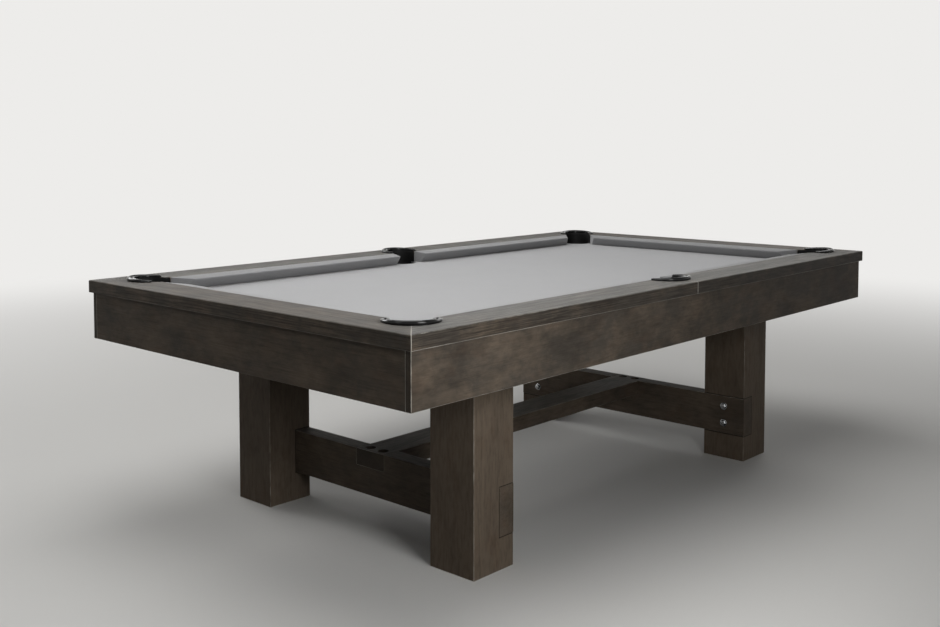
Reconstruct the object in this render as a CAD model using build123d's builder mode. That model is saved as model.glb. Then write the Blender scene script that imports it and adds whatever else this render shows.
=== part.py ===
from build123d import *
import os
from math import sqrt

# A pool table on four square legs. The frame stands on the floor at its centre:
# +X runs along the table from the head end to the foot end, +Y is its left side, +Z is up.
# All sizes are in millimetres.

os.makedirs("parts", exist_ok=True)

# Playing field, measured from cushion nose to cushion nose
play_length = 2235.0
play_width = 1117.5

# Rails and cushions, as seen in section
table_height = 787.0
rail_wood_width = 136.0
rail_rise = 43.0
rail_edge_height = 40.0
rail_edge_round = 4.0
rail_lower_round = 1.0
cushion_width = 56.0
cushion_sink = 0.4
nose_drop = 7.0
nose_flat = 3.0
cushion_undercut = 28.0
rubber_top_depth = 34.0
rubber_drop = 35.0
strip_width = 4.5
strip_depth = 11.0

# Cloth, slate and the liners under the slate's edges
cloth_thickness = 1.0
slate_thickness = 25.0
slate_margin = 110.0
liner_width = 80.0
liner_thickness = 19.0
liner_end_gap = 10.0
liner_seam_gap = 1.0

# Pockets
pocket_radius = 55.5
boot_wall = 3.2
boot_gap = 0.3
boot_floor = 4.0
boot_taper = 6.0
boot_lift = 8.0
boot_flange = 9.0
boot_flange_thickness = 1.5
slate_notch_gap = 3.0
corner_setback = 47.0
corner_jaw = 88.0
side_setback = 73.0
side_jaw = 73.0
rim_inner_gap = 0.5
rim_width = 23.5
rim_height = 13.5
rim_toe_height = 6.0
rim_arm = 15.0
rim_edge_round = 2.5
rim_toe_round = 12.0
rim_toe_inner_round = 3.0

# Aprons and what holds them
apron_height = 152.0
apron_thickness = 20.0
apron_setback = 10.0
apron_round = 2.0
corner_block_leg = 60.0
corner_block_height = 120.0
corner_block_drop = 12.0
bracket_leg = 40.0
bracket_width = 30.0
bracket_thickness = 2.5
side_bracket_spacing = 560.0
end_bracket_spacing = 500.0

# Frame under the slates
frame_height = 110.0
frame_beam_thickness = 45.0
frame_clear = 7.0
cross_beam_width = 96.0
frame_housing = 10.0

# Legs and the beams between them
leg_size = 173.0
leg_end_inset = 444.0
leg_proud = 11.0
leg_round = 3.0
leg_beam_thickness = 62.0
leg_beam_height = 146.0
leg_beam_clear = 98.0
leg_beam_round = 2.5
stretcher_width = 132.0
stretcher_thickness = 56.0
stretcher_round = 3.0

# Bolts and screws
fit_gap = 0.15
beam_bolt_radius = 6.0
beam_bolt_head_radius = 10.5
beam_bolt_head_height = 8.0
beam_bolt_grip = 80.0
beam_bolt_spacing = 66.0
washer_radius = 14.5
washer_thickness = 2.5
stretcher_bolt_spacing = 60.0
stretcher_bolt_grip = 60.0
stretcher_counterbore_radius = 17.5
stretcher_counterbore_depth = 22.0
leg_bolt_radius = 6.0
leg_bolt_head_radius = 10.0
leg_bolt_head_height = 8.0
leg_bolt_recess = 12.0
leg_bolt_grip = 70.0
frame_bolt_radius = 5.0
frame_bolt_head_radius = 9.0
frame_bolt_head_height = 6.0
frame_bolt_recess = 9.0
frame_bolt_grip = 60.0
frame_bolt_offset = 28.0
rail_bolt_radius = 5.0
rail_bolt_head_radius = 11.0
rail_bolt_head_height = 7.0
rail_bolt_grip = 30.0
rail_bolt_back = 75.0
rail_bolt_inset = 170.0
rail_bolt_clearance = 1.5
slate_screw_radius = 3.0
slate_screw_head_radius = 6.0
slate_screw_grip = 45.0
slate_screw_seam = 24.0
slate_screw_inset = 95.0

# Levellers in the legs' ends
pad_radius = 24.0
pad_base_height = 6.0
pad_height = 9.5
pad_hub_radius = 19.0
pad_floor = 2.7
pad_lift = 0.8
stem_radius = 5.0
stem_foot_radius = 7.5
stem_foot_height = 3.0
stem_length = 70.0
stem_gap = 0.3
stem_hex_flats = 17.0
stem_hex_height = 6.0
leveller_well_radius = 29.0
leveller_well_depth = 24.0
nut_flange_radius = 13.0
nut_flange_thickness = 2.0
nut_barrel_radius = 8.0
nut_barrel_length = 16.0
stem_bore_depth = 62.0

# Places worked out from the sizes above
rail_width = cushion_width + rail_wood_width
nose_x = play_length / 2
nose_y = play_width / 2
half_length = nose_x + rail_width
half_width = nose_y + rail_width
bed_z = table_height - rail_rise
slate_top = bed_z - cloth_thickness
slate_bottom = slate_top - slate_thickness
slate_x = nose_x + slate_margin
slate_y = nose_y + slate_margin
seam_x = slate_x / 3
apron_top = table_height - rail_edge_height
apron_bottom = apron_top - apron_height
apron_x = half_length - apron_setback
apron_y = half_width - apron_setback
apron_in_x = apron_x - apron_thickness
apron_in_y = apron_y - apron_thickness

boot_radius = pocket_radius + boot_wall
rail_hole = boot_radius + boot_gap
slate_notch = rail_hole + slate_notch_gap
corner_centre = corner_setback * sqrt(2)
corner_throat = cushion_width * sqrt(2) - rail_hole
corner_x = nose_x + corner_setback
corner_y = nose_y + corner_setback
side_y = nose_y + side_setback
rim_inner = pocket_radius + rim_inner_gap
rim_outer = rim_inner + rim_width
boot_bottom = apron_bottom + boot_lift

frame_top = slate_bottom
frame_bottom = frame_top - frame_height
frame_x = corner_x - boot_radius - frame_clear
frame_y = corner_y - boot_radius - frame_clear
frame_in_x = frame_x - frame_beam_thickness
frame_in_y = frame_y - frame_beam_thickness
frame_beam_y = frame_y - frame_beam_thickness / 2

leg_out_x = half_length - leg_end_inset
leg_in_x = leg_out_x - leg_size
leg_x = leg_out_x - leg_size / 2
leg_out_y = frame_y + leg_proud
leg_in_y = leg_out_y - leg_size
leg_y = leg_out_y - leg_size / 2
leg_inner_bolt_y = (leg_in_y + frame_in_y) / 2
beam_top = leg_beam_clear + leg_beam_height
beam_mid_z = leg_beam_clear + leg_beam_height / 2
beam_out_x = leg_in_x + leg_beam_thickness
beam_x = leg_in_x + leg_beam_thickness / 2
stretcher_bottom = beam_top - stretcher_thickness

ends = {"head": -1, "foot": 1}
sides = {"left": 1, "right": -1}


def keep(piece, name):
    """Labels a finished piece and writes it out under its own name."""
    piece.part.label = name
    export_step(piece.part, f"parts/{name}.step")


def upright(x, y, z):
    """A level plane at a point, for something that stands on it."""
    return Plane(origin=(x, y, z))


# The two kinds of pocket, each described along its own axis: zero at the nose line,
# counting outward through the mouth, the throat at the wood and the pocket's centre.
pocket_kinds = {
    "corner": {
        "centre": corner_centre,
        "throat": corner_throat,
        "mouth": -corner_jaw / sqrt(2),
        "mouth_half": corner_jaw / sqrt(2),
    },
    "side": {
        "centre": side_setback,
        "throat": cushion_width,
        "mouth": 0.0,
        "mouth_half": side_jaw,
    },
}
pockets = {}
for side, sy in sides.items():
    for end, sx in ends.items():
        pockets[f"{end}_{side}"] = {
            "kind": "corner",
            "plane": Plane(origin=(sx * nose_x, sy * nose_y, 0), x_dir=(sx, sy, 0), z_dir=(0, 0, 1)),
        }
    pockets[f"middle_{side}"] = {
        "kind": "side",
        "plane": Plane(origin=(0, sy * nose_y, 0), x_dir=(0, sy, 0), z_dir=(0, 0, 1)),
    }


def pocket_opening(pocket):
    """Plan of a pocket's way through the rails: jaws from mouth to throat, then the round hole."""
    kind = pocket_kinds[pocket["kind"]]
    flare = (kind["mouth_half"] - rail_hole) / (kind["throat"] - kind["mouth"])
    inside = kind["mouth"] - nose_flat
    inside_half = kind["mouth_half"] + flare * nose_flat
    with BuildSketch(pocket["plane"]) as opening:
        with Locations((kind["centre"], 0)):
            Circle(rail_hole)
        with BuildLine():
            Polyline(
                (kind["centre"], rail_hole),
                (kind["throat"], rail_hole),
                (inside, inside_half),
                (inside, -inside_half),
                (kind["throat"], -rail_hole),
                (kind["centre"], -rail_hole),
                close=True,
            )
        make_face()
    return opening.sketch


openings = {name: pocket_opening(pocket) for name, pocket in pockets.items()}


def slate_notch_plan(pocket):
    """Plan of the notch that a pocket needs in slate and bed cloth, open towards the edge."""
    kind = pocket_kinds[pocket["kind"]]
    with BuildSketch(pocket["plane"]) as notch:
        with Locations((kind["centre"], 0)):
            Circle(slate_notch)
            Rectangle(slate_margin * 2, slate_notch * 2, align=(Align.MIN, Align.CENTER))
    return notch.sketch


notches = [slate_notch_plan(pocket) for pocket in pockets.values()]


# Rail bolts: three to each rail, set back the same way behind the nose
rail_bolt_line_x = [rail_bolt_inset, nose_x / 2, nose_x - rail_bolt_inset]
rail_bolt_places = []
for sy in sides.values():
    for sx in ends.values():
        for x in rail_bolt_line_x:
            rail_bolt_places.append((sx * x, sy * (nose_y + rail_bolt_back)))
for sx in ends.values():
    for y in (-(nose_y - rail_bolt_inset), 0, nose_y - rail_bolt_inset):
        rail_bolt_places.append((sx * (nose_x + rail_bolt_back), y))

# Slate screws: at the seams and at the ends, down into the frame's beams
slate_screw_y = frame_in_y - slate_screw_inset
slate_screw_x = [seam_x - slate_screw_seam, seam_x + slate_screw_seam, frame_x - frame_beam_thickness / 2]
slate_screw_places = [
    (sx * x, sy * slate_screw_y) for sx in ends.values() for sy in sides.values() for x in slate_screw_x
]


# Section of a rail, seen along it: u counts outward from the nose and z up from the floor.
# The cushion's cloth runs from its groove in the wood, over the nose and down to the bed.
nose_z = table_height - nose_drop
cloth_path = [
    (cushion_width, table_height - cushion_sink),
    (nose_flat, nose_z + nose_drop * nose_flat / cushion_width),
    (0, nose_z - nose_flat),
    (cushion_undercut, bed_z),
]
glue_z = table_height - rubber_drop
glue_u = cushion_undercut * (nose_z - nose_flat - glue_z) / (nose_z - nose_flat - bed_z)

with BuildSketch() as cloth_section:
    with BuildLine():
        Polyline(*cloth_path)
        offset(amount=cloth_thickness, side=Side.LEFT)
    make_face()

with BuildSketch() as whole_section:
    with BuildLine():
        Polyline(
            *cloth_path,
            (rail_width - apron_setback - apron_thickness, bed_z),
            (rail_width - apron_setback - apron_thickness, apron_top),
            (rail_width, apron_top),
            (rail_width, table_height),
            (cushion_width, table_height),
            close=True,
        )
    make_face()
    outer_corners = whole_section.vertices().group_by(Axis.X)[-1].sort_by(Axis.Y)
    fillet(outer_corners[-1], rail_edge_round)
    fillet(outer_corners[0], rail_lower_round)

with BuildSketch() as rubber_section:
    with BuildLine():
        Polyline(
            (rubber_top_depth, table_height),
            (glue_u, glue_z),
            (glue_u - rubber_top_depth, glue_z),
            (glue_u - rubber_top_depth, table_height),
            close=True,
        )
    make_face()
    add(whole_section.sketch, mode=Mode.INTERSECT)
    add(cloth_section.sketch, mode=Mode.SUBTRACT)

with BuildSketch() as strip_section:
    with BuildLine():
        Polyline(
            (cushion_width - strip_width, table_height - strip_depth),
            (cushion_width, table_height - strip_depth),
            (cushion_width, table_height),
            (cushion_width - strip_width, table_height),
            close=True,
        )
    make_face()
    add(whole_section.sketch, mode=Mode.INTERSECT)
    add(cloth_section.sketch, mode=Mode.SUBTRACT)

with BuildSketch() as wood_section:
    add(whole_section.sketch)
    add(cloth_section.sketch, mode=Mode.SUBTRACT)
    add(rubber_section.sketch, mode=Mode.SUBTRACT)
    add(strip_section.sketch, mode=Mode.SUBTRACT)

# The six rails: where each section stands, which plan it keeps, and which pockets cut it
mitre = rail_width + nose_flat
rails = {}
for side, sy in sides.items():
    for end, sx in ends.items():
        rails[f"{end}_{side}"] = {
            "plane": Plane(origin=(sx * half_length / 2, sy * nose_y, 0), x_dir=(0, sy, 0), z_dir=(sy, 0, 0)),
            "plan": [
                (0, sy * half_width),
                (sx * half_length, sy * half_width),
                (sx * (half_length - mitre), sy * (half_width - mitre)),
                (0, sy * (half_width - mitre)),
            ],
            "pockets": [f"{end}_{side}", f"middle_{side}"],
        }
for end, sx in ends.items():
    rails[end] = {
        "plane": Plane(origin=(sx * nose_x, 0, 0), x_dir=(sx, 0, 0), z_dir=(0, -sx, 0)),
        "plan": [
            (sx * half_length, -half_width),
            (sx * half_length, half_width),
            (sx * (half_length - mitre), half_width - mitre),
            (sx * (half_length - mitre), -(half_width - mitre)),
        ],
        "pockets": [f"{end}_left", f"{end}_right"],
    }


def along_rail(section, rail):
    """Runs a section along a rail, mitres it at the corners and opens it for the pockets."""
    extrude(to_extrude=rail["plane"] * section, amount=half_length, both=True)
    with BuildSketch() as plan:
        with BuildLine():
            Polyline(*rail["plan"], close=True)
        make_face()
    extrude(to_extrude=plan.sketch, amount=table_height * 2, mode=Mode.INTERSECT)
    for name in rail["pockets"]:
        extrude(to_extrude=openings[name], amount=table_height * 2, mode=Mode.SUBTRACT)


for name, rail in rails.items():
    with BuildPart() as rail_wood:
        along_rail(wood_section.sketch, rail)
        with BuildSketch(upright(0, 0, bed_z)):
            with Locations(*rail_bolt_places):
                Circle(rail_bolt_radius + fit_gap)
        extrude(amount=rail_bolt_grip, mode=Mode.SUBTRACT)
    keep(rail_wood, f"rail_{name}")

    with BuildPart() as cushion_cover:
        along_rail(cloth_section.sketch, rail)
    keep(cushion_cover, f"cushion_cloth_{name}")

rubber_runs = []
strip_runs = []
for rail in rails.values():
    with BuildPart() as rubber:
        along_rail(rubber_section.sketch, rail)
    rubber_runs.append(rubber.part)

    with BuildPart() as strip:
        along_rail(strip_section.sketch, rail)
    strip_runs.append(strip.part)

with BuildPart() as rubbers:
    add(rubber_runs)
keep(rubbers, "cushion_rubbers")

with BuildPart() as strips:
    add(strip_runs)
keep(strips, "feather_strips")


# Pocket rims: horseshoes that slope down from the back to rounded toes, with a step under the
# inner edge for the boot's flange
rim_seat = rim_inner + boot_flange
rim_slope = (rim_height - rim_toe_height) / (rim_outer + rim_arm)


def horseshoe(inner, outer):
    """Plan of half a ring about a pocket's centre, with straight arms towards the table."""
    with BuildSketch() as plan:
        Circle(outer)
        Rectangle(outer, outer * 2, align=(Align.MAX, Align.CENTER), mode=Mode.SUBTRACT)
        Rectangle(rim_arm, outer * 2, align=(Align.MAX, Align.CENTER))
        Circle(inner, mode=Mode.SUBTRACT)
        Rectangle(rim_arm, inner * 2, align=(Align.MAX, Align.CENTER), mode=Mode.SUBTRACT)
    return plan.sketch


with BuildSketch() as rim_plan:
    add(horseshoe(rim_inner, rim_outer))
    toe_corners = rim_plan.vertices().group_by(Axis.X)[0].sort_by(Axis.Y)
    fillet([toe_corners[0], toe_corners[-1]], min(rim_toe_round, rim_arm - fit_gap))
    fillet(toe_corners[1:-1], rim_toe_inner_round)
flange_plan = horseshoe(pocket_radius, rim_seat)
rim_step_plan = horseshoe(pocket_radius, rim_seat + boot_gap)

for name, pocket in pockets.items():
    centre = pocket_kinds[pocket["kind"]]["centre"]
    seat = pocket["plane"].offset(table_height)
    middle = Plane(seat.from_local_coords((centre, 0, 0)), x_dir=seat.x_dir, z_dir=seat.z_dir)
    crown = Plane(
        seat.from_local_coords((centre - rim_arm, 0, rim_toe_height)),
        x_dir=seat.x_dir + seat.z_dir * rim_slope,
        z_dir=seat.z_dir - seat.x_dir * rim_slope,
    )
    with BuildPart() as rim:
        extrude(to_extrude=middle * rim_plan.sketch, amount=rim_height)
        split(bisect_by=crown, keep=Keep.BOTTOM)
        fillet(rim.faces().sort_by(Axis.Z)[-1].edges(), rim_edge_round)
        extrude(to_extrude=middle * rim_step_plan, amount=boot_flange_thickness + boot_gap, mode=Mode.SUBTRACT)
    keep(rim, f"pocket_rim_{name}")


# Pocket boots: a tapered cup under the slate, a wall up through the rails, a flange on the wood
def boot(pocket):
    """A leather boot, closed below the slate and open towards the table above it."""
    kind = pocket_kinds[pocket["kind"]]
    level = pocket["plane"]
    middle = Plane(level.from_local_coords((kind["centre"], 0, 0)), x_dir=level.x_dir, z_dir=level.z_dir)
    profile = Plane(middle.origin, x_dir=middle.x_dir, z_dir=-middle.y_dir)
    cup_top = slate_top - slate_notch_gap
    arm = kind["centre"] - kind["throat"]
    with BuildPart() as leather:
        with BuildSketch(profile):
            with BuildLine():
                Polyline(
                    (0, boot_bottom),
                    (boot_radius - boot_taper, boot_bottom),
                    (boot_radius, cup_top),
                    (pocket_radius, cup_top),
                    (pocket_radius - boot_taper, boot_bottom + boot_floor),
                    (0, boot_bottom + boot_floor),
                    close=True,
                )
            make_face()
        revolve(axis=Axis(middle.origin, middle.z_dir))
        with BuildSketch(middle.offset(cup_top)):
            Circle(boot_radius)
            Circle(pocket_radius, mode=Mode.SUBTRACT)
            Rectangle(boot_radius, boot_radius * 2, align=(Align.MAX, Align.CENTER), mode=Mode.SUBTRACT)
        extrude(amount=table_height - cup_top)
        with BuildSketch(middle.offset(bed_z + boot_gap)):
            Rectangle(arm, boot_radius * 2, align=(Align.MAX, Align.CENTER))
            Rectangle(arm, pocket_radius * 2, align=(Align.MAX, Align.CENTER), mode=Mode.SUBTRACT)
        extrude(amount=rail_rise - boot_gap)
        extrude(to_extrude=middle.offset(table_height) * flange_plan, amount=boot_flange_thickness)
    return leather.part


for kind_name in pocket_kinds:
    with BuildPart() as boots:
        add([boot(pocket) for pocket in pockets.values() if pocket["kind"] == kind_name])
    keep(boots, f"{kind_name}_pocket_boots")


# The bed: one cloth over three slates, all notched for the pockets and drilled for the rail bolts
rail_bolt_hole = rail_bolt_radius + rail_bolt_clearance


def bed_holes(level, depth):
    """Takes pocket notches and rail bolt holes out of a layer of the bed, down from its top."""
    for notch in notches:
        extrude(to_extrude=upright(0, 0, level) * notch, amount=-depth, mode=Mode.SUBTRACT)
    with BuildSketch(upright(0, 0, level)) as holes:
        with Locations(*rail_bolt_places):
            Circle(rail_bolt_hole)
    extrude(to_extrude=holes.sketch, amount=-depth, mode=Mode.SUBTRACT)


with BuildPart() as bed_cloth:
    with BuildSketch(upright(0, 0, slate_top)):
        Rectangle(slate_x * 2, slate_y * 2)
    extrude(amount=cloth_thickness)
    bed_holes(bed_z, cloth_thickness)
keep(bed_cloth, "bed_cloth")

for name, place in {"head": -1, "centre": 0, "foot": 1}.items():
    with BuildPart() as slate:
        with BuildSketch(upright(place * seam_x * 2, 0, slate_bottom)):
            Rectangle(seam_x * 2, slate_y * 2)
        extrude(amount=slate_thickness)
        bed_holes(slate_top, slate_thickness)
        with Locations(*[(x, y, slate_top) for x, y in slate_screw_places]):
            CounterSinkHole(
                radius=slate_screw_radius + fit_gap,
                counter_sink_radius=slate_screw_head_radius + fit_gap,
                depth=slate_thickness,
            )
    keep(slate, f"slate_{name}")

# Liners: wooden strips glued under the slates' edges, between the pockets
liner_y = slate_y - liner_width / 2
liner_x = slate_x - liner_width / 2
liner_reach = slate_notch + liner_end_gap
liner_runs = [
    (liner_reach, seam_x - liner_seam_gap / 2),
    (seam_x + liner_seam_gap / 2, corner_x - liner_reach),
]
with BuildPart() as liners:
    with BuildSketch(upright(0, 0, slate_bottom)):
        for sy in sides.values():
            for sx in ends.values():
                for near, far in liner_runs:
                    with Locations((sx * (near + far) / 2, sy * liner_y)):
                        Rectangle(far - near, liner_width)
        for sx in ends.values():
            with Locations((sx * liner_x, 0)):
                Rectangle(liner_width, (corner_y - liner_reach) * 2)
    extrude(amount=-liner_thickness)
    with BuildSketch(upright(0, 0, slate_bottom)):
        with Locations(*rail_bolt_places):
            Circle(rail_bolt_hole)
    extrude(amount=-liner_thickness, mode=Mode.SUBTRACT)
keep(liners, "slate_liners")


# Bolts and screws, each kind turned as one profile and set at all its places
def bolts(places, head_radius, head_height, radius, length):
    """Plain headed bolts: each place is a plane at the head's seat, with its shank going down."""
    with BuildPart() as group:
        for place in places:
            with BuildSketch(place) as head:
                RegularPolygon(head_radius, 6)
            extrude(to_extrude=head.sketch, amount=head_height)
            with BuildSketch(place) as shank:
                Circle(radius)
            extrude(to_extrude=shank.sketch, amount=-length)
    return group


rail_bolt_seat = slate_bottom - liner_thickness
rail_bolt_length = bed_z - rail_bolt_seat + rail_bolt_grip
rail_bolts = bolts(
    [Plane(origin=(x, y, rail_bolt_seat), z_dir=(0, 0, -1)) for x, y in rail_bolt_places],
    rail_bolt_head_radius,
    rail_bolt_head_height,
    rail_bolt_radius,
    rail_bolt_length,
)
keep(rail_bolts, "rail_bolts")

with BuildPart() as slate_screws:
    for x, y in slate_screw_places:
        with BuildSketch(Plane(origin=(x, y, slate_top), x_dir=(1, 0, 0), z_dir=(0, -1, 0))):
            with BuildLine():
                Polyline(
                    (0, 0),
                    (slate_screw_head_radius, 0),
                    (slate_screw_radius, slate_screw_radius - slate_screw_head_radius),
                    (slate_screw_radius, -slate_thickness - slate_screw_grip),
                    (0, -slate_thickness - slate_screw_grip - slate_screw_radius),
                    close=True,
                )
            make_face()
        revolve(axis=Axis((x, y, 0), (0, 0, 1)))
keep(slate_screws, "slate_screws")


# The frame: two long side beams, with end beams and cross beams let into housings in them
cross_beam_x = [-leg_x, -seam_x, seam_x, leg_x]
end_beam_x = frame_x - frame_beam_thickness / 2
cross_half = frame_in_y + frame_housing
frame_mid_z = (frame_top + frame_bottom) / 2
frame_joint_x = [x + frame_bolt_offset for x in cross_beam_x] + [-end_beam_x, end_beam_x]
leg_bolt_places = [
    (sx * leg_x, sy * y)
    for sx in ends.values()
    for sy in sides.values()
    for y in (frame_beam_y, leg_inner_bolt_y)
]
frame_bolt_places = {
    name: [
        Plane(origin=(x, sy * (frame_y - frame_bolt_recess), frame_mid_z), x_dir=(1, 0, 0), z_dir=(0, sy, 0))
        for x in frame_joint_x
    ]
    for name, sy in sides.items()
}
frame_bolt_length = frame_beam_thickness - frame_bolt_recess + frame_bolt_grip


def frame_drilling():
    """Drills a beam of the frame for leg bolts, frame bolts and slate screws."""
    with BuildSketch(upright(0, 0, frame_bottom)) as leg_holes:
        with Locations(*leg_bolt_places):
            Circle(leg_bolt_radius + fit_gap)
    extrude(to_extrude=leg_holes.sketch, amount=frame_height, mode=Mode.SUBTRACT)
    with BuildSketch(upright(0, 0, frame_top)) as leg_wells:
        with Locations(*leg_bolt_places):
            Circle(leg_bolt_head_radius + 2 * fit_gap)
    extrude(to_extrude=leg_wells.sketch, amount=-leg_bolt_recess, mode=Mode.SUBTRACT)
    with BuildSketch(upright(0, 0, frame_top)) as screw_holes:
        with Locations(*slate_screw_places):
            Circle(slate_screw_radius + fit_gap)
    extrude(to_extrude=screw_holes.sketch, amount=-slate_screw_grip - slate_screw_radius, mode=Mode.SUBTRACT)
    for place in frame_bolt_places["left"] + frame_bolt_places["right"]:
        with BuildSketch(place) as bolt_hole:
            Circle(frame_bolt_radius + fit_gap)
        extrude(to_extrude=bolt_hole.sketch, amount=-frame_bolt_length, mode=Mode.SUBTRACT)
        with BuildSketch(place) as bolt_well:
            Circle(frame_bolt_head_radius + 2 * fit_gap)
        extrude(to_extrude=bolt_well.sketch, amount=frame_bolt_recess, mode=Mode.SUBTRACT)


for name, sy in sides.items():
    with BuildPart() as side_beam:
        with BuildSketch(upright(0, sy * frame_beam_y, frame_bottom)):
            Rectangle(frame_x * 2, frame_beam_thickness)
        extrude(amount=frame_height)
        with BuildSketch(upright(0, 0, frame_bottom)):
            with Locations(*[(x, 0) for x in cross_beam_x]):
                Rectangle(cross_beam_width, cross_half * 2)
            with Locations((-end_beam_x, 0), (end_beam_x, 0)):
                Rectangle(frame_beam_thickness, cross_half * 2)
        extrude(amount=frame_height, mode=Mode.SUBTRACT)
        frame_drilling()
    keep(side_beam, f"frame_side_beam_{name}")

with BuildPart() as end_beams:
    with BuildSketch(upright(0, 0, frame_bottom)):
        with Locations((-end_beam_x, 0), (end_beam_x, 0)):
            Rectangle(frame_beam_thickness, cross_half * 2)
    extrude(amount=frame_height)
    frame_drilling()
keep(end_beams, "frame_end_beams")

with BuildPart() as cross_beams:
    with BuildSketch(upright(0, 0, frame_bottom)):
        with Locations(*[(x, 0) for x in cross_beam_x]):
            Rectangle(cross_beam_width, cross_half * 2)
    extrude(amount=frame_height)
    frame_drilling()
keep(cross_beams, "frame_cross_beams")

frame_bolts = bolts(
    frame_bolt_places["left"] + frame_bolt_places["right"],
    frame_bolt_head_radius,
    frame_bolt_head_height,
    frame_bolt_radius,
    frame_bolt_length,
)
keep(frame_bolts, "frame_bolts")

leg_bolt_length = frame_height - leg_bolt_recess + leg_bolt_grip
leg_bolts = bolts(
    [upright(x, y, frame_top - leg_bolt_recess) for x, y in leg_bolt_places],
    leg_bolt_head_radius,
    leg_bolt_head_height,
    leg_bolt_radius,
    leg_bolt_length,
)
keep(leg_bolts, "leg_bolts")


# Aprons: the long boards run past the ends of the short ones and show their end grain
for name, sy in sides.items():
    with BuildPart() as side_apron:
        with BuildSketch(upright(0, sy * (apron_y - apron_thickness / 2), apron_bottom)):
            Rectangle(apron_x * 2, apron_thickness)
        extrude(amount=apron_height)
        fillet(side_apron.faces().sort_by(Axis.Y)[-1 if sy > 0 else 0].edges(), apron_round)
    keep(side_apron, f"apron_{name}")

for name, sx in ends.items():
    with BuildPart() as end_apron:
        with BuildSketch(upright(sx * (apron_x - apron_thickness / 2), 0, apron_bottom)):
            Rectangle(apron_thickness, apron_in_y * 2)
        extrude(amount=apron_height)
        outer = end_apron.faces().sort_by(Axis.X)[-1 if sx > 0 else 0]
        fillet(outer.edges().filter_by(Axis.Y), apron_round)
    keep(end_apron, f"apron_{name}")

with BuildPart() as corner_blocks:
    for sx in ends.values():
        for sy in sides.values():
            with BuildSketch(upright(0, 0, apron_bottom + corner_block_drop)):
                with BuildLine():
                    Polyline(
                        (sx * apron_in_x, sy * apron_in_y),
                        (sx * (apron_in_x - corner_block_leg), sy * apron_in_y),
                        (sx * apron_in_x, sy * (apron_in_y - corner_block_leg)),
                        close=True,
                    )
                make_face()
            extrude(amount=corner_block_height)
keep(corner_blocks, "apron_corner_blocks")

bracket_places = [
    Plane(origin=(x, sy * apron_in_y, bed_z), x_dir=(0, sy, 0), z_dir=(sy, 0, 0))
    for sy in sides.values()
    for x in [(k - 1.5) * side_bracket_spacing for k in range(4)]
]
bracket_places += [
    Plane(origin=(sx * apron_in_x, y, bed_z), x_dir=(sx, 0, 0), z_dir=(0, -sx, 0))
    for sx in ends.values()
    for y in (-end_bracket_spacing / 2, end_bracket_spacing / 2)
]
with BuildPart() as brackets:
    for place in bracket_places:
        with BuildSketch(place):
            with BuildLine():
                Polyline((-bracket_leg, 0), (0, 0), (0, -bracket_leg))
                offset(amount=bracket_thickness, side=Side.RIGHT)
            make_face()
        extrude(amount=bracket_width / 2, both=True)
keep(brackets, "apron_brackets")


# Legs: square posts with a housing for the beam on the inner face and a well for the leveller below
beam_bolt_z = [beam_mid_z - beam_bolt_spacing / 2, beam_mid_z + beam_bolt_spacing / 2]
beam_bolt_places = [
    Plane(origin=(sx * (leg_in_x - washer_thickness), sy * leg_y, z), x_dir=(0, 1, 0), z_dir=(-sx, 0, 0))
    for sx in ends.values()
    for sy in sides.values()
    for z in beam_bolt_z
]
beam_bolt_length = washer_thickness + leg_beam_thickness + beam_bolt_grip
stretcher_bolt_places = [
    (sx * beam_x, sy * stretcher_bolt_spacing / 2) for sx in ends.values() for sy in sides.values()
]
stretcher_bolt_seat = beam_top - stretcher_counterbore_depth
stretcher_bolt_length = stretcher_thickness - stretcher_counterbore_depth + stretcher_bolt_grip
nut_seat = leveller_well_depth


def beam_bolt_holes():
    """Drills for the bolts that hold the beams to the legs."""
    for place in beam_bolt_places:
        with BuildSketch(place) as hole:
            Circle(beam_bolt_radius + fit_gap)
        extrude(to_extrude=hole.sketch, amount=-beam_bolt_length, mode=Mode.SUBTRACT)


for end, sx in ends.items():
    for side, sy in sides.items():
        with BuildPart() as leg:
            with BuildSketch(upright(sx * leg_x, sy * leg_y, 0)):
                RectangleRounded(leg_size, leg_size, leg_round)
            extrude(amount=frame_bottom)
            with BuildSketch(upright(sx * beam_x, sy * leg_y, leg_beam_clear)):
                Rectangle(leg_beam_thickness, leg_size)
            extrude(amount=leg_beam_height, mode=Mode.SUBTRACT)
            with BuildSketch(upright(0, 0, frame_bottom)):
                with Locations(*leg_bolt_places):
                    Circle(leg_bolt_radius + fit_gap)
            extrude(amount=-leg_bolt_grip, mode=Mode.SUBTRACT)
            beam_bolt_holes()
            with BuildSketch(upright(sx * leg_x, sy * leg_y, 0)):
                Circle(leveller_well_radius)
            extrude(amount=leveller_well_depth, mode=Mode.SUBTRACT)
            with BuildSketch(upright(sx * leg_x, sy * leg_y, nut_seat)):
                Circle(nut_barrel_radius + fit_gap)
            extrude(amount=stem_bore_depth, mode=Mode.SUBTRACT)
        keep(leg, f"leg_{end}_{side}")

# Beams between the legs, flush with the legs' inner and outer faces, notched for the stretcher
for end, sx in ends.items():
    with BuildPart() as leg_beam:
        with BuildSketch(upright(sx * beam_x, 0, leg_beam_clear)):
            Rectangle(leg_beam_thickness, leg_out_y * 2)
        extrude(amount=leg_beam_height)
        fillet(leg_beam.edges().filter_by(Axis.Y), leg_beam_round)
        with BuildSketch(upright(sx * beam_x, 0, stretcher_bottom)):
            Rectangle(leg_beam_thickness, stretcher_width)
        extrude(amount=stretcher_thickness, mode=Mode.SUBTRACT)
        beam_bolt_holes()
        with BuildSketch(upright(0, 0, stretcher_bottom)):
            with Locations(*stretcher_bolt_places):
                Circle(beam_bolt_radius + fit_gap)
        extrude(amount=-stretcher_bolt_grip, mode=Mode.SUBTRACT)
    keep(leg_beam, f"leg_beam_{end}")

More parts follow.
